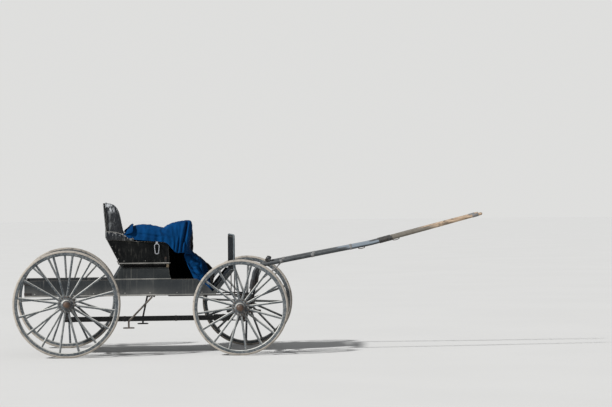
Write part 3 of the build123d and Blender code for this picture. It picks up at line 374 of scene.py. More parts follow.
FINISHES = {
    "body_paint": painted_planks(
        "body_paint", (0.020, 0.024, 0.027), (0.036, 0.040, 0.041), sill=BODY_SILL, streaks=0.4
    ),
    "riser_paint": painted_planks(
        "riser_paint",
        (0.016, 0.019, 0.020),
        (0.030, 0.034, 0.035),
        streaks=0.4,
        shine=0.2,
        recess=RISER_RECESS,
    ),
    "seat_paint": painted_planks(
        "seat_paint", (0.0035, 0.004, 0.0045), (0.010, 0.011, 0.011), edge_wear=0.5, shine=0.06
    ),
    "gear_paint": painted_planks(
        "gear_paint", (0.014, 0.015, 0.016), (0.030, 0.030, 0.029), streaks=0.2, edge_wear=0.4
    ),
    "worn_edge": painted_planks(
        "worn_edge", (0.14, 0.14, 0.132), (0.40, 0.39, 0.365), streaks=0.5, edge_wear=0.9
    ),
    "floor_paint": painted_planks("floor_paint", (0.055, 0.056, 0.053), (0.11, 0.108, 0.098)),
    "back_leather": crinkled_leather(
        "back_leather", (0.004, 0.005, 0.007), (0.013, 0.015, 0.019), rubbed=BACK_RUBBED_AND_HIGHLIT
    ),
    "dash_leather": crinkled_leather(
        "dash_leather",
        (0.006, 0.008, 0.010),
        (0.018, 0.022, 0.026),
        matt=0.6,
        wrinkle=25.0,
        dust=0.1,
        shine=0.06,
    ),
    # Painted highlight: the dash's edge cord is blue-grey to stand for the light on the black leather's lit
    # edges, with dust on it.
    "dash_edge": crinkled_leather(
        "dash_edge", (0.070, 0.090, 0.100), (0.140, 0.165, 0.180), matt=0.42, wrinkle=60.0, dust=0.3
    ),
    "strap_leather": crinkled_leather(
        "strap_leather", (0.012, 0.011, 0.010), (0.045, 0.035, 0.026), matt=0.5, wrinkle=60.0
    ),
    "wheel_paint": chalky_paint("wheel_paint"),
    "hub_paint": chalky_paint("hub_paint", chalk=0.85, least_dust_and_highlight=0.75),
    "tyre_dust": dusty_rubber(),
    "gear_iron": old_iron("gear_iron", (0.020, 0.020, 0.021)),
    "rusty_iron": old_iron("rusty_iron", (0.075, 0.045, 0.030), rusted=0.9, dusted=0.3),
    "dusty_iron": old_iron("dusty_iron", (0.060, 0.066, 0.072), rusted=0.5, dusted=0.6),
    "step_iron": old_iron("step_iron", (0.11, 0.095, 0.08), rusted=0.55, dusted=0.9),
    "worn_steel": old_iron("worn_steel", (0.16, 0.16, 0.16), rusted=0.4, dusted=0.4),
    "stud": old_iron("stud", (0.30, 0.30, 0.29), rusted=0.2, dusted=0.2),
    "thread": old_iron("thread", (0.10, 0.095, 0.085), rusted=0.2, dusted=0.4),
    "bright_rod": bare_steel(),
    "shaft_paint": worn_shaft(),
    "robe_blue": robe_cloth("robe_blue", (0.0006, 0.046, 0.152), (0.0004, 0.026, 0.092)),
    "robe_lining": robe_cloth("robe_lining", (0.020, 0.020, 0.023), (0.008, 0.008, 0.010)),
    # Painted light: the robe's foot is pale grey, dust made paler to stand for light where it lies in
    # shade.
    "robe_dusty": robe_cloth("robe_dusty", (0.34, 0.33, 0.30), (0.14, 0.137, 0.122)),
}

IRON_NODES = """
    body_irons step_left rear_axle front_axle fifth_wheel_lower fifth_wheel_upper reach_straps king_bolt
    rear_spring front_spring shaft_iron_right shaft_iron_left
"""
WOODEN_GEAR_NODES = """
    reach rear_spring_bar front_spring_bar axle_cap head_block crossbar singletree
"""
NODE_FINISHES = {
    "body_paint": ("side_panel_right", "side_panel_left", "tail_panel"),
    "floor_paint": ("floor", "toe_board"),
    "step_iron": ("step_right",),
    "riser_paint": ("seat_riser",),
    "seat_paint": ("seat_bottom", "seat_end_right", "seat_end_left", "seat_back_board", "lazy_back_board"),
    "dash_leather": ("dash",),
    "gear_paint": WOODEN_GEAR_NODES.split(),
    "gear_iron": IRON_NODES.split(),
    "bright_rod": ("harness_loop",),
    "shaft_paint": ("shaft_right", "shaft_left"),
    "hub_paint": tuple(f"wheel_{name}_hub" for name in WHEELS),
    "wheel_paint": tuple(f"wheel_{name}_spokes" for name in WHEELS),
    "tyre_dust": tuple(f"wheel_{name}_tyre" for name in WHEELS),
}


def dress_nodes():
    for finish, names in NODE_FINISHES.items():
        for name in names:
            mesh = NODES[name].data
            mesh.materials.clear()
            mesh.materials.append(FINISHES[finish])


# Shared ways of making pieces. A look is a finish and the record's material slot for it.
IRON = ("gear_iron", "gear_iron")
DUSTY_IRON = ("dusty_iron", "gear_iron")
RUSTY_IRON = ("rusty_iron", "gear_iron")
WORN_STEEL = ("worn_steel", "gear_iron")
RIM_DUST = ("tyre_dust", "gear_iron")
RUBBER = ("tyre_dust", "tyre")
BODY_PAINT = ("body_paint", "body_paint")
WORN_EDGE = ("worn_edge", "body_paint")
LEATHER = ("back_leather", "black_leather")
WORN_CORD = ("worn_edge", "black_leather")
DASH_EDGE_SHEEN = ("dash_edge", "black_leather")
STRAP = ("strap_leather", "black_leather")
THREAD = ("thread", "black_leather")
STUD = ("stud", "bright_steel")


def placed(name, mesh):
    """A new object in the scene, whose place is in its mesh."""
    piece = bpy.data.objects.new(name, mesh)
    bpy.context.scene.collection.objects.link(piece)
    return piece


def as_mesh(name, shape):
    """The bmesh's shape as a mesh; the bmesh is used up."""
    mesh = bpy.data.meshes.new(name)
    shape.to_mesh(mesh)
    shape.free()
    return mesh


def outward(shape):
    bmesh.ops.recalc_face_normals(shape, faces=shape.faces)
    return shape


def shade_smooth(mesh, angle=40):
    for polygon in mesh.polygons:
        polygon.use_smooth = True
    mesh.set_sharp_from_angle(angle=math.radians(angle))
    return mesh


def fasten(piece, look, body="body", replaces=()):
    """Gives a piece its look's finish and its body, and hides the solids that it stands for."""
    finish, slot = look
    piece.data.materials.clear()
    piece.data.materials.append(FINISHES[finish])
    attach(piece, body)
    if replaces:
        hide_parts(*replaces)
    return piece


def finished(name, mesh, look, body="body", replaces=()):
    return fasten(placed(name, mesh), look, body, replaces)


def evaluated(piece):
    """The piece's mesh with its modifiers and simulation applied."""
    graph = bpy.context.evaluated_depsgraph_get()
    return bpy.data.meshes.new_from_object(piece.evaluated_get(graph))


def settle(piece):
    """Applies the piece's modifiers for good."""
    mesh = evaluated(piece)
    piece.modifiers.clear()
    piece.data = mesh


def subdivide(piece, levels=1):
    finer = piece.modifiers.new("finer", "SUBSURF")
    finer.levels = finer.render_levels = levels


def thicken(piece, thickness, offset=0.0):
    """Gives a sheet its thickness, half on each side of it or all on one."""
    wall = piece.modifiers.new("wall", "SOLIDIFY")
    wall.thickness = thickness
    wall.offset = offset
    return wall


def sheet_mesh(shape, thickness, offset=0.0, levels=0):
    """The mesh of a thin sheet with its thickness, subdivided as often as levels says."""
    piece = placed("sheet", as_mesh("sheet", outward(shape)))
    thicken(piece, thickness, offset)
    if levels:
        subdivide(piece, levels)
    mesh = evaluated(piece)
    bpy.data.objects.remove(piece)
    return mesh


def bridge(shape, rows, closed=False):
    """Faces between each row of points and the next; a closed row's last point meets its first."""
    for first, second in zip(rows, rows[1:]):
        count = len(first)
        for index in range(count if closed else count - 1):
            after = (index + 1) % count
            shape.faces.new((first[index], second[index], second[after], first[after]))


def rays_round(axis, count, phase=0.0):
    """Evenly spaced ways out from an axis."""
    across = axis.orthogonal().normalized()
    third = axis.cross(across)
    turns = [2 * math.pi * (index + phase) / count for index in range(count)]
    return [across * math.cos(turn) + third * math.sin(turn) for turn in turns]


def rings_mesh(name, profile, centre, axis, segments=48):
    """A closed profile of (radius, distance along the axis) turned round an axis."""
    axis = Vector(axis).normalized()
    shape = bmesh.new()
    loops = []
    for ray in rays_round(axis, segments):
        loops.append([shape.verts.new(centre + ray * out + axis * along) for out, along in profile])
    bridge(shape, loops + loops[:1], closed=True)
    bmesh.ops.remove_doubles(shape, verts=shape.verts, dist=1e-6)
    return shade_smooth(as_mesh(name, outward(shape)))


def joined(name, meshes):
    """Several meshes as one."""
    shape = bmesh.new()
    for mesh in meshes:
        shape.from_mesh(mesh)
        bpy.data.meshes.remove(mesh)
    return shade_smooth(as_mesh(name, shape))


# Padded leather: the seat cushion, the lazy back's pad and its two wings

PAD_PRESSURE = 4.0
PAD_FRAMES = 20
BUTTON_ROWS = 3
BUTTONS_ACROSS = 5
BUTTON_HOLD = 0.011


def merged_copy(name):
    """A CAD node's own shape with its loose triangles joined."""
    shape = bmesh.new()
    shape.from_mesh(NODES[name].data)
    bmesh.ops.remove_doubles(shape, verts=shape.verts, dist=1e-5)
    return as_mesh(name, shape)


def inset(mesh, depth):
    """Draws every point in along its normal, so that the pad has room to swell."""
    moved = [vertex.co - vertex.normal * depth for vertex in mesh.vertices]
    for vertex, place in zip(mesh.vertices, moved):
        vertex.co = place


def swell(piece, held, cap):
    """Blows the cover up from inside, holding the given points, and moves no point past the cap."""
    group = piece.vertex_groups.new(name="held")
    for vertex in piece.data.vertices:
        group.add([vertex.index], held(vertex.co, vertex.normal), "REPLACE")
    cover = piece.modifiers.new("cover", "CLOTH")
    cover.settings.quality = 4
    cover.settings.mass = 0.3
    cover.settings.tension_stiffness = 18.0
    cover.settings.compression_stiffness = 18.0
    cover.settings.shear_stiffness = 8.0
    cover.settings.bending_stiffness = 0.6
    cover.settings.use_pressure = True
    cover.settings.uniform_pressure_force = PAD_PRESSURE
    cover.settings.vertex_group_mass = group.name
    cover.settings.effector_weights.gravity = 0.0
    cover.point_cache.frame_start = 1
    cover.point_cache.frame_end = PAD_FRAMES
    before = [vertex.co.copy() for vertex in piece.data.vertices]
    for step in range(1, PAD_FRAMES + 1):
        bpy.context.scene.frame_set(step)
    swollen = evaluated(piece)
    piece.modifiers.clear()
    piece.vertex_groups.clear()
    for vertex, old, new in zip(piece.data.vertices, before, swollen.vertices):
        shift = new.co - old
        if shift.length > cap:
            shift *= cap / shift.length
        vertex.co = old + shift
    bpy.context.scene.frame_set(1)


def wrinkle(mesh, depth=0.0034, density=24.0):
    """Presses short sharp wrinkles into a leather cover."""
    shifts = []
    for vertex in mesh.vertices:
        spot = vertex.co * density
        spot.z *= 0.6
        ridge = 1.0 - 2.0 * abs(noise.noise(spot + Vector((3.1, 0.0, 0.0))))
        small = 1.0 - 2.0 * abs(noise.noise(spot * 2.3))
        shifts.append(vertex.normal * depth * (0.7 * min(ridge, 0.8) + 0.3 * small - 0.75))
    for vertex, shift in zip(mesh.vertices, shifts):
        vertex.co += shift


def padded_piece(name, node, held, cap, depth, voxel=0.006):
    """A stuffed leather piece in the room that its plain solid keeps."""
    piece = placed(name, merged_copy(node))
    blocks = piece.modifiers.new("blocks", "REMESH")
    blocks.mode = "VOXEL"
    blocks.voxel_size = voxel
    soft = piece.modifiers.new("soft", "SMOOTH")
    soft.factor = 0.5
    soft.iterations = 6
    settle(piece)
    inset(piece.data, depth)
    swell(piece, held, cap)
    wrinkle(piece.data)
    subdivide(piece)
    settle(piece)
    shade_smooth(piece.data, 60)
    return fasten(piece, LEATHER, replaces=(node,))


def button_places(low, high):
    """Rows of buttons in a quincunx over a face, given the corners of its two sizes."""
    places = []
    for row in range(BUTTON_ROWS):
        even = row % 2 == 0
        rise = low[1] + (high[1] - low[1]) * (row + 0.7) / (BUTTON_ROWS + 0.4)
        for index in range(BUTTONS_ACROSS if even else BUTTONS_ACROSS - 1):
            share = (index + (0.5 if even else 1.0)) / BUTTONS_ACROSS
            places.append((low[0] + (high[0] - low[0]) * share, rise))
    return places


def add_buttoned(name, node, rise, face, cap):
    """A buttoned pad; rise and face number the axes that go up its face and out of it."""
    low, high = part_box(node)
    buttons = button_places((low.y, low[rise]), (high.y, high[rise]))

    def held(point, normal):
        if normal[face] > 0.5:
            near = min(math.hypot(point.y - y, point[rise] - up) for y, up in buttons)
            return 1.0 if near < BUTTON_HOLD else 0.0
        return 1.0 if normal[face] < -0.7 else 0.0

    pad = padded_piece(name, node, held, cap, depth=0.008)


def held_rim(_, normal):
    """Holds a wing at its rim, and lets its two faces swell."""
    return 1.0 if abs(normal.y) < 0.4 else 0.0


def add_wings():
    for side, _ in SIDES:
        wing = padded_piece(
            f"wing_{side}", f"lazy_back_wing_{side}", held_rim, cap=0.007, depth=0.004, voxel=0.005
        )


# Lap robe


# The robe's top, from its turned-back tail to its front corner.
# columns: station, height of the crest, then station and height of the near hem and its distance
# from the middle, then station and height of the far hem; all in millimetres
ROBE_TOP_ROWS = (
    (646, 1252, 640, 1172, 452, 640, 1180),
    (600, 1216, 598, 1166, 450, 600, 1150),
    (566, 1176, 566, 1158, 446, 566, 1120),
    (548, 1146, 551, 1146, 438, 552, 1080),
    (572, 1166, 574, 1130, 436, 572, 1050),
    (610, 1206, 606, 1116, 440, 610, 1042),
    (650, 1240, 640, 1108, 446, 650, 1034),
    (700, 1250, 690, 1103, 447, 700, 1026),
    (760, 1254, 750, 1098, 447, 760, 1018),
    (820, 1247, 810, 1093, 447, 820, 1012),
    (880, 1232, 870, 1088, 447, 880, 1006),
    (928, 1213, 918, 1084, 447, 930, 1000),
    (952, 1216, 940, 1080, 447, 965, 996),
    (972, 1240, 962, 1072, 446, 1000, 900),
    (992, 1253, 984, 1050, 444, 1000, 706),
    (1040, 1268, 1020, 1006, 438, 1034, 706),
    (1092, 1276, 1052, 972, 428, 1100, 714),
    (1136, 1280, 1084, 978, 420, 1140, 714),
    (1176, 1283, 1120, 976, 408, 1180, 714),
    (1206, 1282, 1148, 982, 394, 1220, 714),
)
# The robe's front, going down to the floor boards: each row runs from the near hem to the far one.
# columns: station and height of the near hem, of the near corner, of the middle, of the far corner
# and of the far hem
ROBE_FRONT_ROWS = (
    (1142, 966, 1207, 1200, 1222, 1226, 1238, 1206, 1240, 712),
    (1136, 958, 1190, 1140, 1214, 1170, 1244, 1150, 1244, 708),
    (1132, 950, 1176, 1090, 1200, 1116, 1236, 1096, 1248, 704),
    (1134, 938, 1166, 1036, 1190, 1060, 1206, 1050, 1252, 698),
    (1138, 924, 1160, 984, 1196, 1006, 1222, 990, 1256, 692),
    (1144, 908, 1196, 958, 1232, 964, 1262, 950, 1262, 684),
    (1152, 888, 1244, 944, 1286, 926, 1304, 906, 1268, 676),
    (1162, 866, 1282, 910, 1330, 886, 1362, 868, 1274, 668),
    (1174, 838, 1300, 866, 1380, 842, 1424, 822, 1282, 658),
    (1188, 804, 1306, 818, 1404, 796, 1456, 784, 1290, 648),
    (1206, 762, 1318, 770, 1414, 750, 1462, 742, 1300, 636),
    (1230, 716, 1346, 722, 1418, 706, 1456, 700, 1312, 624),
    (1264, 670, 1380, 672, 1418, 662, 1438, 660, 1326, 612),
    (1304, 628, 1404, 628, 1412, 622, 1420, 622, 1342, 600),
    (1344, 592, 1400, 590, 1398, 590, 1392, 590, 1352, 590),
)
ROBE_RIDGE_OUT = 388.0
ROBE_FAR_RIDGE = 262.0
ROBE_FAR_HEM = 298.0
ROBE_CUFF_LIFT = 9.0
ROBE_FOLD_OUT = 14.0
# How many of the net's rows are the turned-back cuff and where the pale foot starts, dust made paler
# as painted light, and how many columns of the front stay blue
ROBE_CUFF_ROWS = 3
ROBE_DUST_AND_LIGHT_ROW = 9
ROBE_BLUE_COLUMNS = 4
ROBE_LOOKS = ("robe_blue", "robe_lining", "robe_blue", "robe_blue", "robe_dusty", "robe_blue")
# Places in that list; a face's other side takes the place after its own
ROBE_BLUE = 0
ROBE_LINING = 1
ROBE_CUFF = 2
ROBE_DUST_AND_LIGHT = 4
# The lining shows below a slanting line across the front: its height at a place from the middle,
# and how much it rises towards the far side
ROBE_LINING_Y = -0.10
ROBE_LINING_Z = 1.02
ROBE_LINING_RISE = 0.55
ROBE_THICKNESS = 0.007

# Creases pressed into the near flank.
# columns: station and height of the crease's ends, its width and depth, in millimetres
ROBE_CREASES = (
    (1172, 1290, 1150, 1190, 13, 40),
    (1150, 1190, 1122, 1080, 13, 38),
    (1198, 1262, 1176, 1110, 9, 30),
    (1086, 1120, 1064, 985, 7, 18),
    (1116, 1085, 1104, 985, 7, 22),
    (1142, 1080, 1138, 985, 6, 18),
    (1040, 1070, 1034, 1010, 6, 14),
    (800, 1226, 975, 1206, 7, 14),
    (690, 1165, 900, 1132, 9, 9),
    (900, 1180, 1010, 1110, 9, 12),
    (740, 1236, 850, 1200, 7, 9),
    (1186, 946, 1256, 876, 12, 30),
    (1262, 900, 1290, 850, 9, 22),
    (1170, 872, 1240, 790, 11, 26),
    (1262, 846, 1300, 780, 11, 28),
    (1222, 786, 1300, 716, 10, 24),
    (1270, 720, 1340, 670, 7, 12),
    (1150, 958, 1232, 946, 8, 26),
)


def robe_top_row(row, lift):
    """Points over the seat, from the near hem across the crest to the far hem; lift raises a cuff."""
    x, crest, hem_x, hem_z, hem_out, far_x, far_z = row
    ridge = min(ROBE_RIDGE_OUT, hem_out - 12) + lift
    return [
        (hem_x, -hem_out - lift * 0.3, hem_z),
        ((x + hem_x) / 2, -hem_out + 3, (crest + hem_z) / 2 + 6),
        (x, -ridge, crest - 12 + lift),
        (x, -ridge + 70, crest + lift),
        (x, -ridge + 220, crest - 12 + lift),
        (x, 0, crest - 18 + lift),
        (x, ROBE_FAR_RIDGE - 90, crest - 14 + lift),
        (x, ROBE_FAR_RIDGE + lift, crest - 34),
        ((x + far_x) / 2, ROBE_FAR_HEM + lift, (crest + far_z) / 2 + 10),
        (far_x, ROBE_FAR_HEM + 2 + lift, far_z),
    ]


def robe_front_row(row, fold):
    """Points across the robe's front; fold pushes its middle forward."""
    hem_x, hem_z, corner_x, corner_z, middle_x, middle_z, far_x, far_z, far_hem_x, far_hem_z = row
    return [
        (hem_x, -352, hem_z),
        (corner_x, -342, corner_z),
        (corner_x + 6, -290, corner_z + 8),
        (corner_x + 4, -216, (corner_z + middle_z) / 2),
        (middle_x - 12 + fold, -110, middle_z),
        (middle_x + fold / 2, -30, middle_z),
        ((middle_x + far_x) / 2, 110, (middle_z + far_z) / 2),
        (far_x, 222, far_z),
        ((far_x * 2 + far_hem_x) / 3, 286, (far_z * 2 + far_hem_z) / 3),
        (far_hem_x, 296, far_hem_z),
    ]


def robe_net():
    """Points of the robe's net, row by row from its tail over the crest and down to the floor."""
    rows = []
    for index, row in enumerate(ROBE_TOP_ROWS):
        rows.append(robe_top_row(row, ROBE_CUFF_LIFT if index < ROBE_CUFF_ROWS else 0.0))
    for index, row in enumerate(ROBE_FRONT_ROWS):
        rows.append(robe_front_row(row, ROBE_FOLD_OUT if 1 < index < ROBE_DUST_AND_LIGHT_ROW else 0.0))
    return rows


def robe_look(row, column):
    """Which of the robe's looks a face of the net has."""
    down = row - len(ROBE_TOP_ROWS)
    if row < ROBE_CUFF_ROWS:
        return ROBE_CUFF
    if down < 0 or column < ROBE_BLUE_COLUMNS:
        return ROBE_BLUE
    return ROBE_DUST_AND_LIGHT if down >= ROBE_DUST_AND_LIGHT_ROW else ROBE_LINING


def share_of(value, start, end):
    """How far a value has gone from start to end, from 0 to 1."""
    return min(1.0, max(0.0, (value - start) / (end - start)))


def crease_depth(point):
    """How deep the creases press in at a point, in metres, with a low ridge beside each."""
    place = Vector(((point.x - REAR_AXLE_X) * 1000, point.z * 1000))
    depth = 0.0
    for start_x, start_z, end_x, end_z, width, deep in ROBE_CREASES:
        start = Vector((start_x, start_z))
        run = Vector((end_x, end_z)) - start
        reach = place - start
        share = max(-0.1, min(1.1, reach.dot(run) / run.length_squared))
        away = (reach - run * share).length
        ends = share_of(min(share, 1 - share), -0.1, 0.1)
        depth += deep * ends * math.exp(-((away / width) ** 2))
        depth -= 0.35 * deep * ends * math.exp(-(((away - 2.2 * width) / (1.2 * width)) ** 2))
    return depth / 1000


def hanging_fold(point):
    """How far the folds of the far side, where it hangs free before the seat, stand out."""
    free = share_of(point.x, station(0.99), station(1.04))
    down = share_of(-point.z, -1.20, -0.85)
    aside = share_of(point.y, 0.20, 0.28)
    sway = noise.noise(Vector((point.x * 5.0, 3.0, point.z * 1.5)))
    return free * down * aside * (0.016 * math.sin(point.x * 88.0 + 4.0 * sway) + 0.012 * sway)


def muss(mesh):
    """Presses waves, creases and folds into the cloth."""
    shifts = []
    for vertex in mesh.vertices:
        place = vertex.co
        broad = noise.noise(Vector((place.x * 9.0, place.y * 6.0, place.z * 3.0)))
        ridge_spot = Vector((place.x * 17.0 + 7.0, place.y * 15.0, place.z * 4.5))
        ridged = 1.0 - abs(noise.noise(ridge_spot)) * 2.0
        fine = noise.noise(place * 42.0)
        lift = 0.009 * broad + 0.010 * (ridged - 0.6) + 0.0025 * fine
        flank = max(0.0, -vertex.normal.y) if place.y < -0.30 else 0.0
        inward = crease_depth(place) * min(1.0, flank * 1.4) + hanging_fold(place)
        shifts.append(vertex.normal * lift + LEFT * inward)
    for vertex, shift in zip(mesh.vertices, shifts):
        vertex.co += shift


def add_robe():
    shape = bmesh.new()
    rows = []
    for row in robe_net():
        rows.append([shape.verts.new(on_body(x / 1000, y / 1000, z / 1000)) for x, y, z in row])
    bridge(shape, rows)
    across = len(rows[0]) - 1
    for index, face in enumerate(shape.faces):
        face.material_index = robe_look(index // across, index % across)
    mesh = as_mesh("robe", shape)
    for finish in ROBE_LOOKS:
        mesh.materials.append(FINISHES[finish])
    piece = placed("robe", mesh)
    subdivide(piece, 3)
    settle(piece)
    for polygon in piece.data.polygons:
        line = ROBE_LINING_Z + (polygon.center.y - ROBE_LINING_Y) * ROBE_LINING_RISE
        if polygon.material_index == ROBE_LINING and polygon.center.z > line:
            polygon.material_index = ROBE_BLUE
    muss(piece.data)
    wall = thicken(piece, ROBE_THICKNESS)
    wall.material_offset = 1
    settle(piece)
    shade_smooth(piece.data, 80)
    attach(piece, "body")
    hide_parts("lap_robe")


# Small things that repeat: nail and bolt heads, nuts and stitches, set out by node trees


class Works:
    """One geometry tree, with short calls for its nodes and its named inputs."""

    def __init__(self, name, sizes):
        self.tree = bpy.data.node_groups.new(name, "GeometryNodeTree")
        self.keys = {}
        self.tree.interface.new_socket("Places", in_out="INPUT", socket_type="NodeSocketGeometry")
        for label, default in sizes.items():
            socket = self.tree.interface.new_socket(label, in_out="INPUT", socket_type="NodeSocketFloat")
            socket.default_value = default
            self.keys[label] = socket.identifier
        socket = self.tree.interface.new_socket("Finish", in_out="INPUT", socket_type="NodeSocketMaterial")
        self.keys["Finish"] = socket.identifier
        self.tree.interface.new_socket("Pieces", in_out="OUTPUT", socket_type="NodeSocketGeometry")
        self.given = self.tree.nodes.new("NodeGroupInput")

    def node(self, kind, links=(), **settings):
        """A new node; a link is another node's output, the name of an input, or a value."""
        made = self.tree.nodes.new(kind)
        for setting, value in settings.items():
            setattr(made, setting, value)
        for key, value in dict(links).items():
            socket = made.inputs[key]
            if isinstance(value, str) and (value == "Places" or value in self.keys):
                self.tree.links.new(self.given.outputs[value], socket)
            elif isinstance(value, bpy.types.NodeSocket):
                self.tree.links.new(value, socket)
            else:
                socket.default_value = value
        return made

    def share(self, label, part):
        return self.node("ShaderNodeMath", {0: label, 1: part}, operation="MULTIPLY").outputs[0]

    def ball(self, segments, rings, across, high):
        """A ball of radius one, stretched to its two radii."""
        ball = self.node("GeometryNodeMeshUVSphere", {"Segments": segments, "Rings": rings, "Radius": 1.0})
        size = self.node("ShaderNodeCombineXYZ", {"X": across, "Y": across, "Z": high})
        links = {"Geometry": ball.outputs[0], "Scale": size.outputs[0]}
        return self.node("GeometryNodeTransform", links).outputs[0]

    def turned(self, way):
        return self.node("FunctionNodeAlignRotationToVector", {"Vector": way}, axis="Z").outputs[0]

    def close(self, geometry):
        real = self.node("GeometryNodeRealizeInstances", {"Geometry": geometry})
        dressed = self.node("GeometryNodeSetMaterial", {"Geometry": real.outputs[0], "Material": "Finish"})
        out = self.tree.nodes.new("NodeGroupOutput")
        self.tree.links.new(dressed.outputs[0], out.inputs[0])
        return self


def spread_on_places(works, piece, size_spread):
    """Sets a piece on every place, turned to face the way that the place's arrow gives."""
    facing = works.node("GeometryNodeInputNamedAttribute", {"Name": "facing"}, data_type="FLOAT_VECTOR")
    spin = works.node("FunctionNodeRandomValue", {2: 0.0, 3: 2 * math.pi, "Seed": 11}, data_type="FLOAT")
    turn = works.node("ShaderNodeCombineXYZ", {"Z": spin.outputs[1]})
    turns = {"Rotation": works.turned(facing.outputs[0]), "Rotate By": turn.outputs[0]}
    spun = works.node("FunctionNodeRotateRotation", turns, rotation_space="LOCAL")
    sizes = {2: 1.0 - size_spread, 3: 1.0 + size_spread, "Seed": 5}
    size = works.node("FunctionNodeRandomValue", sizes, data_type="FLOAT")
    links = {"Points": "Places", "Instance": piece, "Rotation": spun.outputs[0], "Scale": size.outputs[1]}
    return works.node("GeometryNodeInstanceOnPoints", links).outputs[0]


def heads_tree():
    """Round heads, half sunk where they are driven in."""
    works = Works("driven_heads", {"Head radius": 0.006, "Head height": 0.004})
    dome = works.ball(12, 8, "Head radius", "Head height")
    smooth = works.node("GeometryNodeSetShadeSmooth", {"Geometry": dome})
    return works.close(spread_on_places(works, smooth.outputs[0], 0.07))


def nuts_tree():
    """Six-sided nuts on washers, with the bolt's end standing out of each."""
    works = Works("nuts_on_washers", {"Nut radius": 0.009, "Nut height": 0.007})
    washer = works.share("Nut radius", 1.35)
    crown = works.share("Nut radius", 0.84)
    bolt = works.share("Nut radius", 0.5)
    half = works.share("Nut height", 0.5)
    thin = works.share("Nut height", 0.2)
    rest = works.share("Nut height", 0.8)
    joined_parts = works.tree.nodes.new("GeometryNodeJoinGeometry")
    for sides, low, high, start, depth in (
        (16, washer, washer, 0.0, thin),
        (6, "Nut radius", "Nut radius", 0.0, rest),
        (6, "Nut radius", crown, rest, thin),
        (10, bolt, bolt, rest, half),
    ):
        sizes = {"Vertices": sides, "Radius Bottom": low, "Radius Top": high, "Depth": depth}
        body = works.node("GeometryNodeMeshCone", sizes)
        place = works.node("ShaderNodeCombineXYZ", {"Z": start})
        links = {"Geometry": body.outputs[0], "Translation": place.outputs[0]}
        moved = works.node("GeometryNodeTransform", links)
        works.tree.links.new(moved.outputs[0], joined_parts.inputs[0])
    return works.close(spread_on_places(works, joined_parts.outputs[0], 0.04))


def stitches_tree():
    """Short thread stitches laid end to end along a path."""
    works = Works("stitches_on_path", {"Stitch spacing": 0.008, "Thread radius": 0.0009})
    path = works.node("GeometryNodeMeshToCurve", {"Mesh": "Places"})
    links = {"Curve": path.outputs[0], "Length": "Stitch spacing"}
    points = works.node("GeometryNodeCurveToPoints", links, mode="LENGTH")
    thread = works.ball(6, 4, "Thread radius", works.share("Stitch spacing", 0.36))
    along = works.turned(points.outputs["Tangent"])
    links = {"Points": points.outputs[0], "Instance": thread, "Rotation": along}
    return works.close(works.node("GeometryNodeInstanceOnPoints", links).outputs[0])


HEADS = heads_tree()
NUTS = nuts_tree()
STITCHES = stitches_tree()


def grown(name, works, seedbed, sizes, look, body):
    """Runs a tree on a handful of places and keeps the result as a plain mesh."""
    bench = placed(name, seedbed)
    grower = bench.modifiers.new("grower", "NODES")
    grower.node_group = works.tree
    for label, value in sizes.items():
        grower[works.keys[label]] = value
    grower[works.keys["Finish"]] = FINISHES[look[0]]
    mesh = evaluated(bench)
    bench.modifiers.clear()
    bpy.data.objects.remove(bench)
    return finished(name, mesh, look, body)


def spot_mesh(name, spots):
    """A mesh of loose places, each with the arrow that says which way it faces."""
    seedbed = bpy.data.meshes.new(name)
    seedbed.from_pydata([place for place, arrow in spots], [], [])
    facing = seedbed.attributes.new("facing", "FLOAT_VECTOR", "POINT")
    for index, (place, arrow) in enumerate(spots):
        facing.data[index].vector = arrow
    return seedbed


def add_heads(name, spots, radius, height, look=IRON, body="body"):
    """Round heads; a spot is a place and the way it faces."""
    sizes = {"Head radius": radius, "Head height": height}
    return grown(name, HEADS, spot_mesh(name, spots), sizes, look, body)


def add_nuts(name, spots, radius, height, look=IRON, body="body"):
    sizes = {"Nut radius": radius, "Nut height": height}
    return grown(name, NUTS, spot_mesh(name, spots), sizes, look, body)


def add_stitches(name, lines, spacing, radius):
    places = []
    edges = []
    for line in lines:
        first = len(places)
        places += line
        edges += [(first + index, first + index + 1) for index in range(len(line) - 1)]
    seedbed = bpy.data.meshes.new(name)
    seedbed.from_pydata(places, edges, [])
    sizes = {"Stitch spacing": spacing, "Thread radius": radius}
    return grown(name, STITCHES, seedbed, sizes, THREAD, "body")


def between(start, end, count, margin=0.0):
    """Evenly spaced points on a straight line, with a margin at its ends."""
    start = Vector(start)
    end = Vector(end)
    way = (end - start).normalized()
    start = start + way * margin
    end = end - way * margin
    return [start.lerp(end, index / (count - 1)) for index in range(count)]


# Bars, beads and straps: one section swept along a line


def round_section(radius, sides=12):
    turns = [2 * math.pi * side / sides for side in range(sides)]
    return [(radius * math.cos(turn), radius * math.sin(turn)) for turn in turns]


def flat_section(width, thickness, easing=0.25):
    """A flat bar whose top corners are eased; it lies on its own line."""
    ease = thickness * easing
    half = width / 2
    return [
        (-half, 0.0),
        (half, 0.0),
        (half, thickness - ease),
        (half - ease, thickness),
        (-half + ease, thickness),
        (-half, thickness - ease),
    ]


def half_round_section(width, height, steps=6):
    half = width / 2
    arc = [math.pi * step / steps for step in range(steps + 1)]
    return [(half * math.cos(angle), height * math.sin(angle)) for angle in arc]


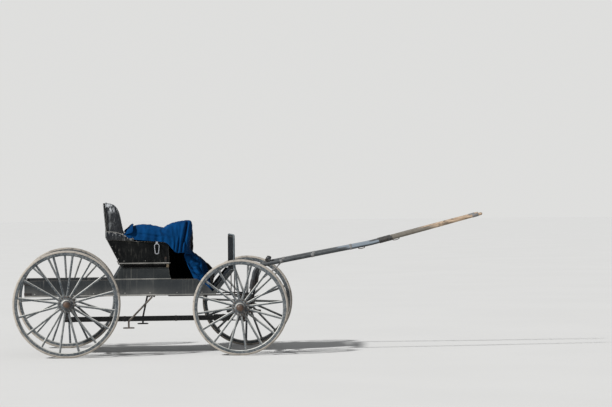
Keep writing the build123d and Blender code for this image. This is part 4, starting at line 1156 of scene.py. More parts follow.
def swept(shape, line, section, up, closed=False):
    """Adds a section swept along a line of points; up is the way that its second number goes."""
    line = [Vector(point) for point in line]
    up = Vector(up)
    count = len(line)
    rings = []
    for index, point in enumerate(line):
        after = line[(index + 1) % count] if closed or index < count - 1 else point
        before = line[index - 1] if closed or index > 0 else point
        ahead = (after - point).normalized() if after != point else (point - before).normalized()
        behind = (point - before).normalized() if before != point else ahead
        tangent = (ahead + behind).normalized()
        rise = (up - tangent * up.dot(tangent)).normalized()
        out = tangent.cross(rise)
        stretch = 1.0 / max(0.5, ahead.dot(tangent))
        bend = (ahead - behind).normalized() if (ahead - behind).length > 1e-4 else Vector()
        ring = []
        for x, y in section:
            shift = out * x + rise * y
            shift += bend * shift.dot(bend) * (stretch - 1.0)
            ring.append(shape.verts.new(point + shift))
        rings.append(ring)
    bridge(shape, rings + rings[:1] if closed else rings, closed=True)
    if not closed:
        shape.faces.new(list(reversed(rings[0])))
        shape.faces.new(rings[-1])


def add_swept(name, lines, section, look=IRON, body="body", closed=False):
    """One piece of several swept lines; each line is its points, or its points and its own up."""
    shape = bmesh.new()
    for line in lines:
        points, rise = line if isinstance(line, tuple) else (line, UP)
        swept(shape, points, section, rise, closed)
    return finished(name, shade_smooth(as_mesh(name, outward(shape)), 35), look, body)


def curved(points, steps=8):
    """A smooth line through a few points."""
    points = [Vector(point) for point in points]
    padded = [points[0] * 2 - points[1], *points, points[-1] * 2 - points[-2]]
    line = []
    for index in range(1, len(padded) - 2):
        a, b, c, d = padded[index - 1 : index + 3]
        for step in range(steps):
            t = step / steps
            square = (2 * a - 5 * b + 4 * c - d) * t**2
            cube = (3 * b - 3 * c + d - a) * t**3
            line.append(0.5 * (2 * b + (c - a) * t + square + cube))
    line.append(points[-1])
    return line


# Wheels

TYRE_DEPTH = 0.018
TYRE_HALF = 0.0135
FELLOE_DEPTH = 0.032
FELLOE_HALF = 0.0145
HUB_NOSE = 0.084
HUB_HEEL = -0.110
FLANGE_OUTER = -0.009
FLANGE_INNER = -0.049
FLANGE_RADIUS = 0.082
FLANGE_BOLT_RADIUS = 0.071
SPOKES = 16
RIM_SEGMENTS = 160

# Bands on the hub: where each one is counted from, then the radii and the distances outwards of
# its outline's points
HUB_BANDS = {
    "nose_band": (
        HUB_NOSE,
        (0.030, 0.039, 0.0395, 0.039, 0.0372, 0.030),
        (-0.017, -0.017, -0.012, 0.0015, 0.0034, 0.0036),
    ),
    "outer_band": (
        FLANGE_OUTER,
        (0.044, 0.0495, 0.0502, 0.050, 0.0485, 0.042),
        (0.004, 0.004, 0.006, 0.014, 0.016, 0.016),
    ),
    "inner_band": (
        FLANGE_INNER,
        (0.044, 0.0485, 0.050, 0.0505, 0.0495, 0.044),
        (-0.018, -0.018, -0.016, -0.006, -0.003, -0.003),
    ),
    "heel_band": (
        HUB_HEEL,
        (0.036, 0.0425, 0.0432, 0.0438, 0.0425, 0.036),
        (-0.0005, -0.0005, 0.002, 0.013, 0.015, 0.015),
    ),
}
AXLE_CAP = (
    (0.0, -0.002),
    (0.0322, -0.002),
    (0.0322, 0.006),
    (0.0315, 0.012),
    (0.0280, 0.0195),
    (0.0225, 0.0248),
    (0.0145, 0.0282),
    (0.0055, 0.0295),
    (0.0, 0.0297),
)


def wheel_frame(name):
    """A wheel's centre in the rim's middle plane, its outward axle line and its radius."""
    points = [vertex.co for vertex in NODES[f"wheel_{name}_tyre"].data.vertices]
    centre = sum(points, Vector()) / len(points)
    axis = Vector(JOINTS[f"{name}_wheel"]["axis"]).normalized()
    if axis.y * (1 if "left" in name else -1) < 0:
        axis = -axis
    low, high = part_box(f"wheel_{name}_tyre")
    return centre, axis, (high.z - low.z) / 2


def ring_spots(centre, axis, radius, offset, phase, way=0):
    """Spots round a circle, one for each spoke; they face along the axle, or in towards it."""
    spots = []
    for ray in rays_round(axis, SPOKES, phase):
        spots.append((centre + ray * radius + axis * offset, axis * way if way else -ray))
    return spots


def first_spoke(name, centre, axis):
    """The share of a spoke's gap by which the first spoke stands off the ring's start."""
    across = axis.orthogonal().normalized()
    third = axis.cross(across)
    sines = 0.0
    cosines = 0.0
    for vertex in NODES[f"wheel_{name}_spokes"].data.vertices:
        arm = vertex.co - centre
        arm -= axis * arm.dot(axis)
        if abs(arm.length - FLANGE_RADIUS) < 0.02:
            turn = math.atan2(arm.dot(third), arm.dot(across)) * SPOKES
            sines += math.sin(turn)
            cosines += math.cos(turn)
    return math.atan2(sines, cosines) / (2 * math.pi)


def tyre_outline(rim, radius):
    """The rubber's crown from one side of the rim to the other."""
    half = [
        (rim, TYRE_HALF),
        (rim + 0.006, TYRE_HALF),
        (rim + 0.011, TYRE_HALF - 0.001),
        (rim + 0.0155, TYRE_HALF - 0.0045),
        (radius - 0.0002, TYRE_HALF - 0.009),
        (radius, 0.0),
    ]
    return [(out, -aside) for out, aside in half] + half[-2::-1]


def channel_outline(rim, side):
    """The rim channel's lip, bent up round one side of the tyre."""
    lip = FELLOE_HALF + 0.0012
    return [
        (rim - 0.001, side * (FELLOE_HALF - 0.003)),
        (rim - 0.001, side * lip),
        (rim + 0.0055, side * lip),
        (rim + 0.0065, side * (lip - 0.0012)),
        (rim + 0.0065, side * (FELLOE_HALF - 0.003)),
    ]


def add_wheel(name):
    centre, axis, radius = wheel_frame(name)
    body = f"wheel_{name}"
    rim = radius - TYRE_DEPTH

    def add_ring(label, profile, look, foot=0.0, segments=RIM_SEGMENTS, replaces=()):
        profile = [(out, foot + along) for out, along in profile]
        mesh = rings_mesh(f"{name}_{label}", profile, centre, axis, segments)
        finished(f"{name}_{label}", mesh, look, body, replaces)

    add_ring("rubber", tyre_outline(rim, radius), RUBBER, replaces=(f"wheel_{name}_tyre",))
    add_ring("inner_channel", channel_outline(rim, -1), RIM_DUST)
    add_ring("outer_channel", channel_outline(rim, 1), RIM_DUST)

    gap = first_spoke(name, centre, axis) + 0.5
    felloe_bolts = ring_spots(centre, axis, rim - FELLOE_DEPTH + 0.0005, 0.0, gap)
    add_heads(f"{name}_felloe_bolts", felloe_bolts, 0.0065, 0.005, DUSTY_IRON, body)
    flange_bolts = ring_spots(centre, axis, FLANGE_BOLT_RADIUS, FLANGE_OUTER, gap, 1)
    flange_bolts += ring_spots(centre, axis, FLANGE_BOLT_RADIUS, FLANGE_INNER, gap, -1)
    add_nuts(f"{name}_flange_nuts", flange_bolts, 0.0062, 0.0055, DUSTY_IRON, body)

    for label, (foot, radii, distances) in HUB_BANDS.items():
        add_ring(label, zip(radii, distances), DUSTY_IRON, foot, 64)
    add_ring("axle_cap", AXLE_CAP, RUSTY_IRON, HUB_NOSE, 48)


# Body box and seat. Stations are metres forward of the rear axle, as the solids have them.

PANEL_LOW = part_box("side_panel_right")[0]
RISER_LOW, RISER_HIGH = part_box("seat_riser")
SEAT_LOW, SEAT_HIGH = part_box("seat_bottom")
END_LOW, END_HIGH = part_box("seat_end_right")
DASH_LOW, DASH_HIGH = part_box("dash")
TOE_LOW, TOE_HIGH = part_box("toe_board")
PANEL_FACE = -PANEL_LOW.y
PANEL_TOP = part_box("tail_panel")[1].z
PANEL_THICKNESS = 0.016
SEAT_EDGE = -SEAT_LOW.y
RISER_FACE = -RISER_LOW.y
RISER_REAR = 0.456
RISER_FRONT = 1.002
ENTRY = 1.250
BRACKET_FOOT = 1.424
IRON_THICKNESS = 0.0025
CORNER_IRON_REACH = 0.068
CORNER_IRON_INSET = 0.030
END_LEAN = math.radians(11.0)
END_TOP_FALL = 0.030
END_FRONT_EASE = 0.015
END_REAR_RUN = 0.112
END_HEIGHT = 0.222


def end_top(x):
    """Height of the seat ends' sloping top edge at a place along it."""
    return END_HIGH.z - END_TOP_FALL * (x - END_LOW.x) / (END_HIGH.x - END_FRONT_EASE - END_LOW.x)


def end_face(z):
    """Distance from the middle to the leaning outer face of a seat end."""
    return -END_LOW.y - (END_HIGH.z - z) * math.tan(END_LEAN)


def add_body_trim():
    irons = []
    beads = []
    screws = []
    corners = []
    bolts = []
    corner_heights = (PANEL_LOW.z + CORNER_IRON_INSET, PANEL_TOP - CORNER_IRON_INSET)
    for sign in SIGNS:
        side = LEFT * sign
        face = sign * PANEL_FACE
        middle = sign * (PANEL_FACE - PANEL_THICKNESS / 2)
        irons.append([(PANEL_LOW.x, middle, PANEL_TOP), (RISER_LOW.x - 0.001, middle, PANEL_TOP)])
        irons.append([(RISER_HIGH.x + 0.001, middle, PANEL_TOP), (station(ENTRY), middle, PANEL_TOP)])
        foot = PANEL_LOW.z + 0.007
        beads.append(([(PANEL_LOW.x, face, foot), (station(BRACKET_FOOT), face, foot)], side))
        top = PANEL_TOP + 0.002
        for start, end, count in ((PANEL_LOW.x, RISER_LOW.x, 6), (RISER_HIGH.x, station(ENTRY), 3)):
            spaced = between((start, middle, top), (end, middle, top), count, 0.03)
            screws += [(place, UP) for place in spaced]
        outer = sign * (PANEL_FACE + IRON_THICKNESS)
        behind = PANEL_LOW.x - IRON_THICKNESS
        for z in corner_heights:
            screws += [((PANEL_LOW.x + along, outer, z), side) for along in (0.018, 0.050)]
            screws.append(((behind, sign * (PANEL_FACE - 0.045), z), BACK))
            corners.append(([(PANEL_LOW.x + CORNER_IRON_REACH, face, z), (behind, face, z)], side))
            inner = sign * (PANEL_FACE - CORNER_IRON_REACH)
            corners.append(([(PANEL_LOW.x, outer, z), (PANEL_LOW.x, inner, z)], BACK))
        for x in (-0.30, -0.02, 0.26, 0.56, 0.80, 1.06, 1.30):
            bolts.append((on_body(x, face, PANEL_LOW.z + 0.026), side))
    add_swept("panel_top_irons", irons, flat_section(0.0165, 0.0022))
    add_swept("panel_foot_beads", beads, half_round_section(0.012, 0.0042), WORN_EDGE)
    add_heads("panel_screws", screws, 0.0042, 0.0016)
    add_swept("rear_corner_irons", corners, flat_section(0.022, IRON_THICKNESS))
    add_heads("panel_bolts", bolts, 0.0065, 0.003, WORN_EDGE)


def add_seat_trim():
    mouldings = []
    riser_beads = []
    top_beads = []
    rear_beads = []
    screws = []
    irons = []
    edge = SEAT_HIGH.z - 0.0045
    rear, front = SEAT_LOW.x, SEAT_HIGH.x
    bead_z = PANEL_TOP + 0.006
    for sign in SIGNS:
        side = LEFT * sign
        edge_y = sign * SEAT_EDGE
        mouldings.append(([(rear + 0.006, edge_y, edge), (front - 0.006, edge_y, edge)], side))
        riser_ends = [on_body(x, sign * RISER_FACE, bead_z) for x in (RISER_REAR, RISER_FRONT)]
        riser_beads.append((riser_ends, side))
        top_ends = []
        for x in (END_LOW.x + 0.004, END_HIGH.x - 0.040):
            top = end_top(x)
            top_ends.append((x, sign * (end_face(top) - 0.0075), top - 0.001))
        top_beads.append(top_ends)
        rear_top = (END_LOW.x, sign * (end_face(END_HIGH.z) - 0.007), END_HIGH.z - 0.004)
        rear_foot = (END_LOW.x + END_REAR_RUN, sign * (end_face(SEAT_HIGH.z) - 0.007), SEAT_HIGH.z + 0.002)
        rear_beads.append(([rear_top, rear_foot], (-1, 0, -0.4)))
        lean = Vector((0, sign * math.cos(END_LEAN), -math.sin(END_LEAN)))
        spots = [(SEAT_LOW.x + along, 0.018) for along in (0.055, 0.26, 0.46)]
        for rise in (0.04, 0.10, 0.16):
            spots.append((END_LOW.x + 0.014 + END_REAR_RUN * (1 - rise / END_HEIGHT), rise))
        for x, rise in spots:
            height = SEAT_HIGH.z + rise
            screws.append(((x, sign * end_face(height), height), lean))
        corner_x = END_HIGH.x - 0.035
        ends = [(corner_x, sign * end_face(z), z) for z in (SEAT_HIGH.z, SEAT_HIGH.z + 0.055)]
        irons.append((ends, (0, sign, -0.19)))
    for x, way in ((rear, BACK), (front, AHEAD)):
        mouldings.append(([(x, -SEAT_EDGE + 0.006, edge), (x, SEAT_EDGE - 0.006, edge)], way))
    add_swept("seat_edge_moulding", mouldings, half_round_section(0.0088, 0.005), WORN_EDGE)
    add_swept("riser_beads", riser_beads, half_round_section(0.010, 0.0035), WORN_EDGE)
    add_swept("seat_end_top_beads", top_beads, half_round_section(0.0155, 0.0035), WORN_EDGE)
    add_swept("seat_end_rear_beads", rear_beads, half_round_section(0.015, 0.0035), WORN_EDGE)
    add_heads("seat_screws", screws, 0.0038, 0.0014, WORN_EDGE)
    add_swept("seat_corner_irons", irons, flat_section(0.020, IRON_THICKNESS))


BACK_BOARD_THICKNESS = 0.012
TACK_SPACING = 0.032


def add_back_trim():
    """A leather binding tacked round the back of the lazy back."""
    low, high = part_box("lazy_back_board")
    lean = (high.x - BACK_BOARD_THICKNESS - low.x) / (high.z - low.z)
    edge = 0.022
    near, far = low.y + edge, high.y - edge
    foot, top = low.z + edge, high.z - edge
    corners = []
    for y, z in ((near, foot), (far, foot), (far, top), (near, top)):
        corners.append(Vector((low.x + (high.z - z) * lean, y, z)))
    rearward = (-1, 0, -0.1)
    add_swept("back_binding", [(corners, rearward)], flat_section(0.018, 0.0025), LEATHER, closed=True)
    tacks = []
    for start, end in zip(corners, corners[1:] + corners[:1]):
        count = max(2, round((end - start).length / TACK_SPACING))
        tacks += [(place + BACK * 0.0025, rearward) for place in between(start, end, count)[:-1]]
    add_heads("back_tacks", tacks, 0.0045, 0.0028, STUD)


# The skirts' upper edge from its rear corner to the front: station and height
SKIRT_OUTLINE = (
    (0.383, 1.186),
    (0.432, 1.184),
    (0.500, 1.172),
    (0.548, 1.154),
    (0.590, 1.132),
    (0.640, 1.118),
    (0.646, 1.096),
)
SKIRT_FACE = 0.4375
SKIRT_STEPS = 8
SKIRT_STUDS = (
    (0.560, 1.176),
    (0.541, 1.160),
    (0.566, 1.140),
    (0.470, 1.168),
    (0.412, 1.175),
    (0.610, 1.112),
)


def add_skirts():
    """Leather skirts over the seat ends below the wings, with a corded seam and studs."""
    for side, sign in SIDES:
        way = LEFT * sign
        face = sign * SKIRT_FACE
        lip = curved([on_body(x, face, z) for x, z in SKIRT_OUTLINE], 6)
        shape = bmesh.new()
        rows = []
        for end in lip:
            start = Vector((end.x, face, end_top(min(end.x, END_HIGH.x)) + 0.001))
            row = []
            for step in range(SKIRT_STEPS + 1):
                share = step / SKIRT_STEPS
                belly = math.sin(math.pi * share)
                pucker = 0.0022 * math.sin(start.x * 190.0 + share * 4.0) * belly
                out = belly * 0.007 + 0.003 + pucker
                row.append(shape.verts.new(start.lerp(end, share) + way * out))
            rows.append(row)
        bridge(shape, rows)
        finished(f"skirt_{side}", shade_smooth(sheet_mesh(shape, 0.003, levels=1), 70), LEATHER)
        cord = [point + way * 0.004 for point in lip]
        add_swept(f"skirt_cord_{side}", [(cord, way)], round_section(0.0026, 10), WORN_CORD)
        studs = [(on_body(x, face, z) + way * 0.006, way) for x, z in SKIRT_STUDS]
        add_heads(f"skirt_studs_{side}", studs, 0.0065, 0.0045, STUD)


# A wing's edge from its rear foot over the top to its front foot: station and height
WING_OUTLINE = (
    (0.428, 1.104),
    (0.405, 1.200),
    (0.390, 1.330),
    (0.379, 1.452),
    (0.402, 1.454),
    (0.430, 1.450),
    (0.466, 1.432),
    (0.494, 1.396),
    (0.512, 1.350),
    (0.524, 1.290),
    (0.536, 1.230),
    (0.552, 1.160),
    (0.568, 1.104),
)
WING_FACES = (0.4335, 0.3990)


def add_wing_welts():
    """A corded welt round each wing, on its outer and inner faces."""
    for side, sign in SIDES:
        welts = []
        for y in WING_FACES:
            line = curved([on_body(x, sign * y, z) for x, z in WING_OUTLINE], 5)
            welts.append((line, LEFT * sign))
        add_swept(f"wing_welt_{side}", welts, round_section(0.0034, 10), LEATHER)


def add_buttons():
    low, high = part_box("lazy_back_pad")
    spots = []
    for y, z in button_places((low.y, low.z), (high.y, high.z)):
        share = (z - low.z) / (high.z - low.z)
        spots.append(((high.x - 0.012 - share * 0.080, y, z), (1, 0, 0.25)))
    low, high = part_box("seat_cushion")
    for y, x in button_places((low.y, low.x), (high.y, high.x)):
        spots.append(((x, y, high.z - 0.0095), UP))
    add_heads("seat_buttons", spots, 0.011, 0.005, LEATHER)


DASH_CORNER = 0.046
DASH_CORNER_STEPS = 8


def dash_rim(gap, x):
    """The dash's edge, gap inside it, from the right foot over the top to the left foot."""
    foot = DASH_LOW.z + 0.002
    radius = DASH_CORNER - gap
    line = [Vector((x, DASH_LOW.y + gap, foot))]
    corners = ((DASH_LOW.y + DASH_CORNER, math.pi), (DASH_HIGH.y - DASH_CORNER, math.pi / 2))
    for middle, start in corners:
        for step in range(DASH_CORNER_STEPS + 1):
            turn = start - math.pi / 2 * step / DASH_CORNER_STEPS
            rise = DASH_HIGH.z - DASH_CORNER + radius * math.sin(turn)
            line.append(Vector((x, middle + radius * math.cos(turn), rise)))
    line.append(Vector((x, DASH_HIGH.y - gap, foot)))
    return line


def add_dash_trim():
    middle = (DASH_LOW.x + DASH_HIGH.x) / 2
    add_swept("dash_edge_cord", [(dash_rim(0.0, middle), AHEAD)], round_section(0.0085), DASH_EDGE_SHEEN)
    seams = []
    for way, x in ((-1, DASH_LOW.x), (1, DASH_HIGH.x)):
        seams.append(dash_rim(0.014, x + way * 0.0004))
        seams.append(dash_rim(0.0185, x + way * 0.0002))
    add_stitches("dash_stitches", seams, spacing=0.0075, radius=0.0009)
    rivets = []
    for y in (-0.25, 0.25):
        for z in (DASH_LOW.z + 0.018, DASH_LOW.z + 0.045):
            rivets.append(((DASH_LOW.x, y, z), BACK))
            rivets.append(((DASH_HIGH.x + 0.008, y, z), AHEAD))
    add_heads("dash_rivets", rivets, 0.0065, 0.004)


# The toe board's thickness, measured level
TOE_BOARD_EDGE = 0.0179
BATTEN_THICKNESS = 0.008


def add_floor_trim():
    """Battens on the toe board, with nails through them and through the floor boards."""
    foot = Vector((TOE_LOW.x, 0, TOE_LOW.z))
    slope = Vector((TOE_HIGH.x - TOE_LOW.x - TOE_BOARD_EDGE, 0, TOE_HIGH.z - TOE_LOW.z))
    way = slope.normalized()
    face = Vector((-way.z, 0, way.x))
    battens = []
    nails = []
    for share in (0.30, 0.55, 0.80):
        middle = foot + slope * share
        battens.append(([middle + LEFT * y for y in (-0.30, 0.30)], face))
        on_top = middle + face * (BATTEN_THICKNESS + 0.0005)
        nails += [(on_top + LEFT * y, face) for y in (-0.27, -0.09, 0.09, 0.27)]
    add_swept("toe_battens", battens, flat_section(0.026, BATTEN_THICKNESS), BODY_PAINT)
    floor_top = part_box("floor")[1].z
    for y in (-0.34, -0.17, 0.0, 0.17, 0.34):
        nails += [(on_body(x, y, floor_top), UP) for x in (-0.36, 0.10, 1.06)]
    add_heads("floor_nails", nails, 0.0045, 0.0018)


# Steps: station of the pad, its place across, and station of the bolted head
STEPS = {"right": (0.590, -0.522, 0.815), "left": (0.752, 0.520, 0.800)}
STEP_RIB_PITCH = 0.011
STEP_RIBS = 7


def add_steps():
    for side, sign in SIDES:
        low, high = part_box(f"step_{side}")
        top = low.z + 0.0075
        pad_x, pad_y, head_x = STEPS[side]
        ribs = []
        for rib in range(STEP_RIBS):
            y = pad_y + STEP_RIB_PITCH * (rib - (STEP_RIBS - 1) / 2)
            for start, end in ((-0.044, -0.012), (0.012, 0.044)):
                ribs.append([on_body(pad_x + start, y, top), on_body(pad_x + end, y, top)])
        add_swept(f"step_ribs_{side}", ribs, half_round_section(0.005, 0.0025, 4))
        head = on_body(head_x, sign * (PANEL_FACE - 0.060), high.z - 0.008)
        nuts = []
        for along in (-0.024, 0.024):
            for aside in (-0.024, 0.024):
                nuts.append((head + Vector((along, aside, 0)), DOWN))
        add_nuts(f"step_nuts_{side}", nuts, 0.0075, 0.006)


# Running gear


def add_spring_irons():
    """Clip bolts over the middle of each spring pack, and a bolt through each spring eye."""
    for name in ("rear", "front"):
        low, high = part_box(f"{name}_spring")
        x_middle = (low.x + high.x) / 2
        half = (high.x - low.x) / 2
        foot, top = low.z - 0.016, high.z + 0.016
        bolts = []
        nuts = []
        for y in (-0.022, 0.022):
            for sign in SIGNS:
                x = x_middle + sign * (half + 0.003)
                bolts.append([(x, y, foot), (x, y, foot + 0.050)])
                bolts.append([(x, y, top), (x, y, top - 0.050)])
                nuts.append(((x, y, foot + 0.046), UP))
                nuts.append(((x, y, top - 0.046), DOWN))
            over = half + 0.006
            bolts.append([(x_middle - over, y, foot), (x_middle + over, y, foot)])
            bolts.append([(x_middle - over, y, top), (x_middle + over, y, top)])
        add_swept(f"{name}_spring_clips", [(bolt, LEFT) for bolt in bolts], round_section(0.004, 8))
        eye_z = (low.z + high.z) / 2
        for y in (low.y + 0.012, high.y - 0.012):
            for sign in SIGNS:
                nuts.append(((x_middle + sign * (half - 0.003), y, eye_z), AHEAD * sign))
        add_nuts(f"{name}_spring_nuts", nuts, 0.0075, 0.006)


def add_reach_irons():
    """Bolts through the reach's front plates, and three iron bands round it."""
    low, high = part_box("reach")
    stations = [high.x + x for x in (-0.16, -0.10, -0.04)]
    add_heads("reach_bolts", [((x, 0, high.z + 0.008), UP) for x in stations], 0.008, 0.004)
    add_nuts("reach_nuts", [((x, 0, low.z - 0.008), DOWN) for x in stations], 0.0075, 0.006)
    shape = bmesh.new()
    half_width = 0.011
    for x in (low.x + 0.10, low.x + 0.60, low.x + 1.10):
        rings = []
        for along, out in ((-half_width, 0), (-half_width, 0.002), (half_width, 0.002), (half_width, 0)):
            near, far = low.y - out, high.y + out
            foot, top = low.z - out, high.z + out
            square = ((near, foot), (far, foot), (far, top), (near, top))
            rings.append([shape.verts.new((x + along, y, z)) for y, z in square])
        bridge(shape, rings + rings[:1], closed=True)
    finished("reach_bands", shade_smooth(as_mesh("reach_bands", outward(shape)), 30), IRON)


WOODEN_CAP_HEIGHT = 0.018
AXLE_BAR = 0.028
CLIP_OUT = 0.0205


def add_axle_clips():
    """Clips that bind the wooden cap to the front axle."""
    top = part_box("axle_cap")[1].z
    foot = top - WOODEN_CAP_HEIGHT - AXLE_BAR
    clips = []
    nuts = []
    for y in (-0.27, -0.10, 0.10, 0.27):
        for ahead in (-CLIP_OUT, CLIP_OUT):
            clips.append([on_gear(ahead, y, foot - 0.010), on_gear(ahead, y, top + 0.003)])
            nuts.append((on_gear(ahead, y, foot - 0.003), DOWN))
        clips.append([on_gear(-0.024, y, top + 0.003), on_gear(0.024, y, top + 0.003)])
        clips.append([on_gear(-0.026, y, foot - 0.002), on_gear(0.026, y, foot - 0.002)])
    lines = [(clip, GEAR_LEFT) for clip in clips]
    add_swept("axle_clips", lines, round_section(0.0042, 8), body="front_gear")
    add_nuts("axle_clip_nuts", nuts, 0.007, 0.006, body="front_gear")


# Shafts. Places ahead are metres forward of the king bolt, as the solids have them.

SHAFT_PIN = (0.052, 0.4515)
SHAFT_TIP = (2.324, 0.300)
SHAFT_CLOSING = math.atan2(SHAFT_PIN[1] - SHAFT_TIP[1], SHAFT_TIP[0] - SHAFT_PIN[0])
# The shafts' middle line, as place ahead and height: the knee, the slow bend and the tip
SHAFT_KNEE = Vector((0.135, 0.838))
SHAFT_BEND = Vector((1.250, 1.045))
SHAFT_END = Vector((2.324, 1.325))
BEND_REACH = 0.071
BEND_STEEPENING = 0.075
SHAFT_RADIUS = 0.018
TIP_RADIUS = 0.014
TAPER_START = 1.750


def shaft_point(sign, ahead, height):
    """A point in a shaft's upright plane, given forward of the king bolt."""
    pin_ahead, pin_out = SHAFT_PIN
    run = ahead - pin_ahead
    along = pin_ahead + run * math.cos(SHAFT_CLOSING)
    out = pin_out - run * math.sin(SHAFT_CLOSING)
    return on_gear(along, sign * out, height)


def shaft_height(ahead):
    """Height of the shafts' middle line forward of the knee, with its slow bend."""
    start, end = (SHAFT_KNEE, SHAFT_BEND) if ahead < SHAFT_BEND.x else (SHAFT_BEND, SHAFT_END)
    straight = start.lerp(end, (ahead - start.x) / (end.x - start.x)).y
    inside = max(0.0, BEND_REACH - abs(ahead - SHAFT_BEND.x))
    return straight + inside**2 / (4 * BEND_REACH) * BEND_STEEPENING


def shaft_middle(sign, ahead):
    return shaft_point(sign, ahead, shaft_height(ahead))


def shaft_way(sign, ahead):
    return (shaft_middle(sign, ahead + 0.01) - shaft_middle(sign, ahead - 0.01)).normalized()


def shaft_radius(ahead):
    taper = max(0.0, ahead - TAPER_START) / (SHAFT_END.x - TAPER_START)
    return SHAFT_RADIUS - (SHAFT_RADIUS - TIP_RADIUS) * taper


def band_outline(radius, width):
    """A flat iron band with eased edges, round a bar of the given radius."""
    half = width / 2
    return [
        (radius - 0.002, -half),
        (radius + 0.0012, -half),
        (radius + 0.0022, -half + 0.002),
        (radius + 0.0022, half - 0.002),
        (radius + 0.0012, half),
        (radius - 0.002, half),
    ]


# Bands round each shaft: place ahead and width. The brace: place ahead and height.
SHAFT_BANDS = ((0.385, 0.026), (0.690, 0.030), (1.060, 0.022), (2.270, 0.060))
SHAFT_BRACE = ((0.108, 0.600), (0.150, 0.668), (0.225, 0.735), (0.300, 0.790), (0.372, 0.862))
STAPLES = (1.165, 1.500)


def add_shaft_irons():
    for side, sign in SIDES:
        bands = []
        for ahead, width in SHAFT_BANDS:
            outline = band_outline(shaft_radius(ahead), width)
            bands.append(rings_mesh("band", outline, shaft_middle(sign, ahead), shaft_way(sign, ahead), 32))
        finished(f"shaft_bands_{side}", joined(f"shaft_bands_{side}", bands), WORN_STEEL, "shafts")

        brace = curved([shaft_point(sign, ahead, height) for ahead, height in SHAFT_BRACE], 6)
        add_swept(
            f"shaft_brace_{side}", [(brace, GEAR_LEFT)], round_section(0.0055, 10), WORN_STEEL, "shafts"
        )

        staples = []
        for ahead in STAPLES:
            way = shaft_way(sign, ahead) * 0.028
            base = shaft_point(sign, ahead, shaft_height(ahead) - shaft_radius(ahead) + 0.002)
            drop = DOWN * 0.011
            rear, front = base - way, base + way
            loop = [rear, rear + drop * 0.8, base + drop * 1.15, front + drop * 0.8, front]
            staples.append((curved(loop, 5), GEAR_LEFT))
        add_swept(f"shaft_staples_{side}", staples, round_section(0.0035, 8), body="shafts")


WRAP_START = 1.335
WRAP_END = 1.462
WRAP_TURNS = 9
WRAP_SIDES = 24


def add_shaft_wraps():
    """Leather wound round each shaft where the harness bears on it."""
    width = (WRAP_END - WRAP_START) / WRAP_TURNS
    steps = WRAP_TURNS * WRAP_SIDES
    strap = (
        (-width * 0.55, 0.0008),
        (-width * 0.50, 0.0030),
        (0.0, 0.0036),
        (width * 0.50, 0.0026),
        (width * 0.56, 0.0008),
    )
    radius = shaft_radius(WRAP_START)
    for side, sign in SIDES:
        shape = bmesh.new()
        rows = []
        for step in range(steps + 1):
            turn = 2 * math.pi * step / WRAP_SIDES
            ahead = WRAP_START + (WRAP_END - WRAP_START) * step / steps
            way = shaft_way(sign, ahead)
            across = (GEAR_LEFT - way * GEAR_LEFT.dot(way)).normalized()
            ray = across * math.cos(turn) + way.cross(across) * math.sin(turn)
            middle = shaft_middle(sign, ahead)
            places = [middle + way * along + ray * (radius + out) for along, out in strap]
            rows.append([shape.verts.new(place) for place in places])
        bridge(shape, rows)
        mesh = shade_smooth(sheet_mesh(shape, 0.0016, -1.0), 50)
        finished(f"shaft_wrap_{side}", mesh, STRAP, "shafts")


BAR_AHEAD = 0.245
CROSSBAR_TOP = 0.8754
CROSSBAR_CLIP = 0.0215


def add_crossbar_irons():
    nuts = [(on_gear(BAR_AHEAD, y, CROSSBAR_TOP), UP) for y in (-0.36, -0.30, 0.30, 0.36)]
    add_nuts("crossbar_nuts", nuts, 0.008, 0.006, body="shafts")
    rear, front = BAR_AHEAD - CROSSBAR_CLIP, BAR_AHEAD + CROSSBAR_CLIP
    foot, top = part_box("crossbar")[0].z - 0.001, CROSSBAR_TOP + 0.001
    clips = []
    for y in (-0.33, 0.33):
        corners = ((rear, foot), (front, foot), (front, top), (rear, top))
        clips.append(([on_gear(ahead, y, z) for ahead, z in corners], GEAR_LEFT))
    add_swept("crossbar_clips", clips, round_section(0.004, 8), body="shafts", closed=True)


# Outlines round the singletree: bands beside its middle, and rings on its ends
SINGLETREE_BAND = ((0.0185, -0.009), (0.0230, -0.009), (0.0240, 0.0), (0.0230, 0.009), (0.0185, 0.009))
SINGLETREE_RING = ((0.004, -0.003), (0.016, -0.003), (0.0165, 0.0), (0.016, 0.003), (0.004, 0.003))


def add_singletree_irons():
    low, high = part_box("singletree")
    bands = []
    for y, outline, segments in (
        (-0.052, SINGLETREE_BAND, 32),
        (0.052, SINGLETREE_BAND, 32),
        (-0.402, SINGLETREE_RING, 24),
        (0.402, SINGLETREE_RING, 24),
    ):
        centre = on_gear(BAR_AHEAD, y, (low.z + high.z) / 2)
        bands.append(rings_mesh("band", outline, centre, GEAR_LEFT, segments))
    finished("singletree_bands", joined("singletree_bands", bands), IRON, "singletree")


# Camera, floor and light

IMAGE_WIDTH = 612.0
FOCAL_PIXELS = 2116.0
SENSOR_WIDTH = 36.0
CAMERA_YAW = math.radians(5.92)
CAMERA_PITCH = math.radians(-0.06)
CAMERA_ROLL = math.radians(-0.52)
CAMERA_PLACE = on_body(0.20, -20.78, 1.46)
FLOOR_REACH = 150.0
SKY_LIGHT = 0.24
SKY_SHEEN = 0.35


def place_camera():
    """The photograph's own view: far off, level with the seat, nearly square to the side."""
    camera = placed("camera", bpy.data.cameras.new("camera"))
    camera.data.sensor_width = SENSOR_WIDTH
    camera.data.lens = FOCAL_PIXELS / IMAGE_WIDTH * SENSOR_WIDTH
    camera.data.clip_end = 200.0
    turn = Matrix.Rotation(-CAMERA_YAW, 4, "Z")
    turn = turn @ Matrix.Rotation(math.pi / 2 + CAMERA_PITCH, 4, "X")
    turn = turn @ Matrix.Rotation(CAMERA_ROLL, 4, "Z")
    camera.matrix_world = Matrix.Translation(CAMERA_PLACE) @ turn
    bpy.context.scene.camera = camera


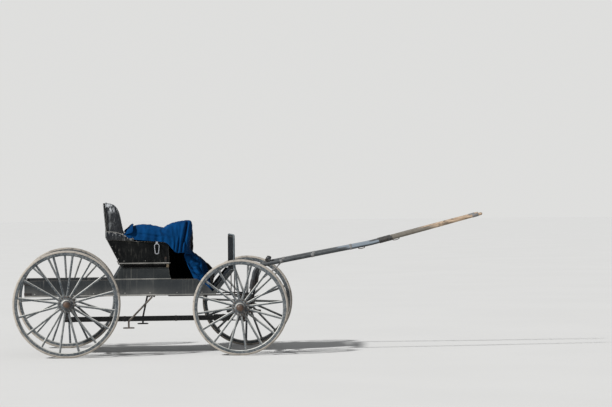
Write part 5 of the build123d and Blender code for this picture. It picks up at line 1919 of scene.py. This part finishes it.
def lay_stage():
    """A pale floor that runs out to the skyline on every side."""
    shape = bmesh.new()
    bmesh.ops.create_circle(shape, cap_ends=True, segments=64, radius=FLOOR_REACH)
    mesh = as_mesh("studio_floor", shape)
    mesh.materials.append(studio_floor())
    placed("studio_floor", mesh)


def add_lamp(name, aim_from, strength, softness):
    """A broad far lamp; its place only gives the way that it shines."""
    lamp = bpy.data.lights.new(name, "SUN")
    lamp.energy = strength
    lamp.angle = math.radians(softness)
    holder = placed(name, lamp)
    holder.location = aim_from
    holder.rotation_mode = "QUATERNION"
    holder.rotation_quaternion = (-Vector(aim_from)).to_track_quat("-Z", "Y")


def light_stage():
    """Two lamps and a plain sky; the camera and clear things see a pale backdrop in its place."""
    add_lamp("key_lamp", (-7.0, -4.2, 6.4), 4.1, 4.0)
    add_lamp("fill_lamp", (2.0, -7.0, 3.0), 0.15, 40.0)
    world = bpy.data.worlds.new("studio")
    bpy.context.scene.world = world
    world.use_nodes = True
    nodes = world.node_tree.nodes
    links = world.node_tree.links

    def glow(color, strength):
        node = nodes.new("ShaderNodeBackground")
        node.inputs["Color"].default_value = (*color, 1.0)
        node.inputs["Strength"].default_value = strength
        return node.outputs[0]

    def choose(share, first, second):
        node = nodes.new("ShaderNodeMixShader")
        for value, socket in zip((share, first, second), node.inputs):
            links.new(value, socket)
        return node.outputs[0]

    path = nodes.new("ShaderNodeLightPath")
    light = glow((1.0, 1.0, 1.0), SKY_LIGHT)
    sheen = glow((0.42, 0.56, 0.74), SKY_SHEEN)
    backdrop = glow((0.735, 0.735, 0.725), 1.0)
    seen = nodes.new("ShaderNodeMath")
    seen.operation = "MAXIMUM"
    links.new(path.outputs["Is Camera Ray"], seen.inputs[0])
    links.new(path.outputs["Is Transmission Ray"], seen.inputs[1])
    lit = choose(path.outputs["Is Glossy Ray"], light, sheen)
    links.new(choose(seen.outputs[0], lit, backdrop), nodes["World Output"].inputs["Surface"])
    bpy.context.scene.view_settings.view_transform = "Standard"


dress_nodes()
for wheel in WHEELS:
    add_wheel(wheel)
add_body_trim()
add_seat_trim()
add_back_trim()
add_skirts()
add_wing_welts()
add_buttons()
add_dash_trim()
add_floor_trim()
add_steps()
add_spring_irons()
add_reach_irons()
add_axle_clips()
add_shaft_irons()
add_shaft_wraps()
add_crossbar_irons()
add_singletree_irons()
add_buttoned("cushion", "seat_cushion", rise=0, face=2, cap=0.012)
add_buttoned("back_pad", "lazy_back_pad", rise=2, face=0, cap=0.014)
add_wings()
add_robe()
place_camera()
lay_stage()
light_stage()
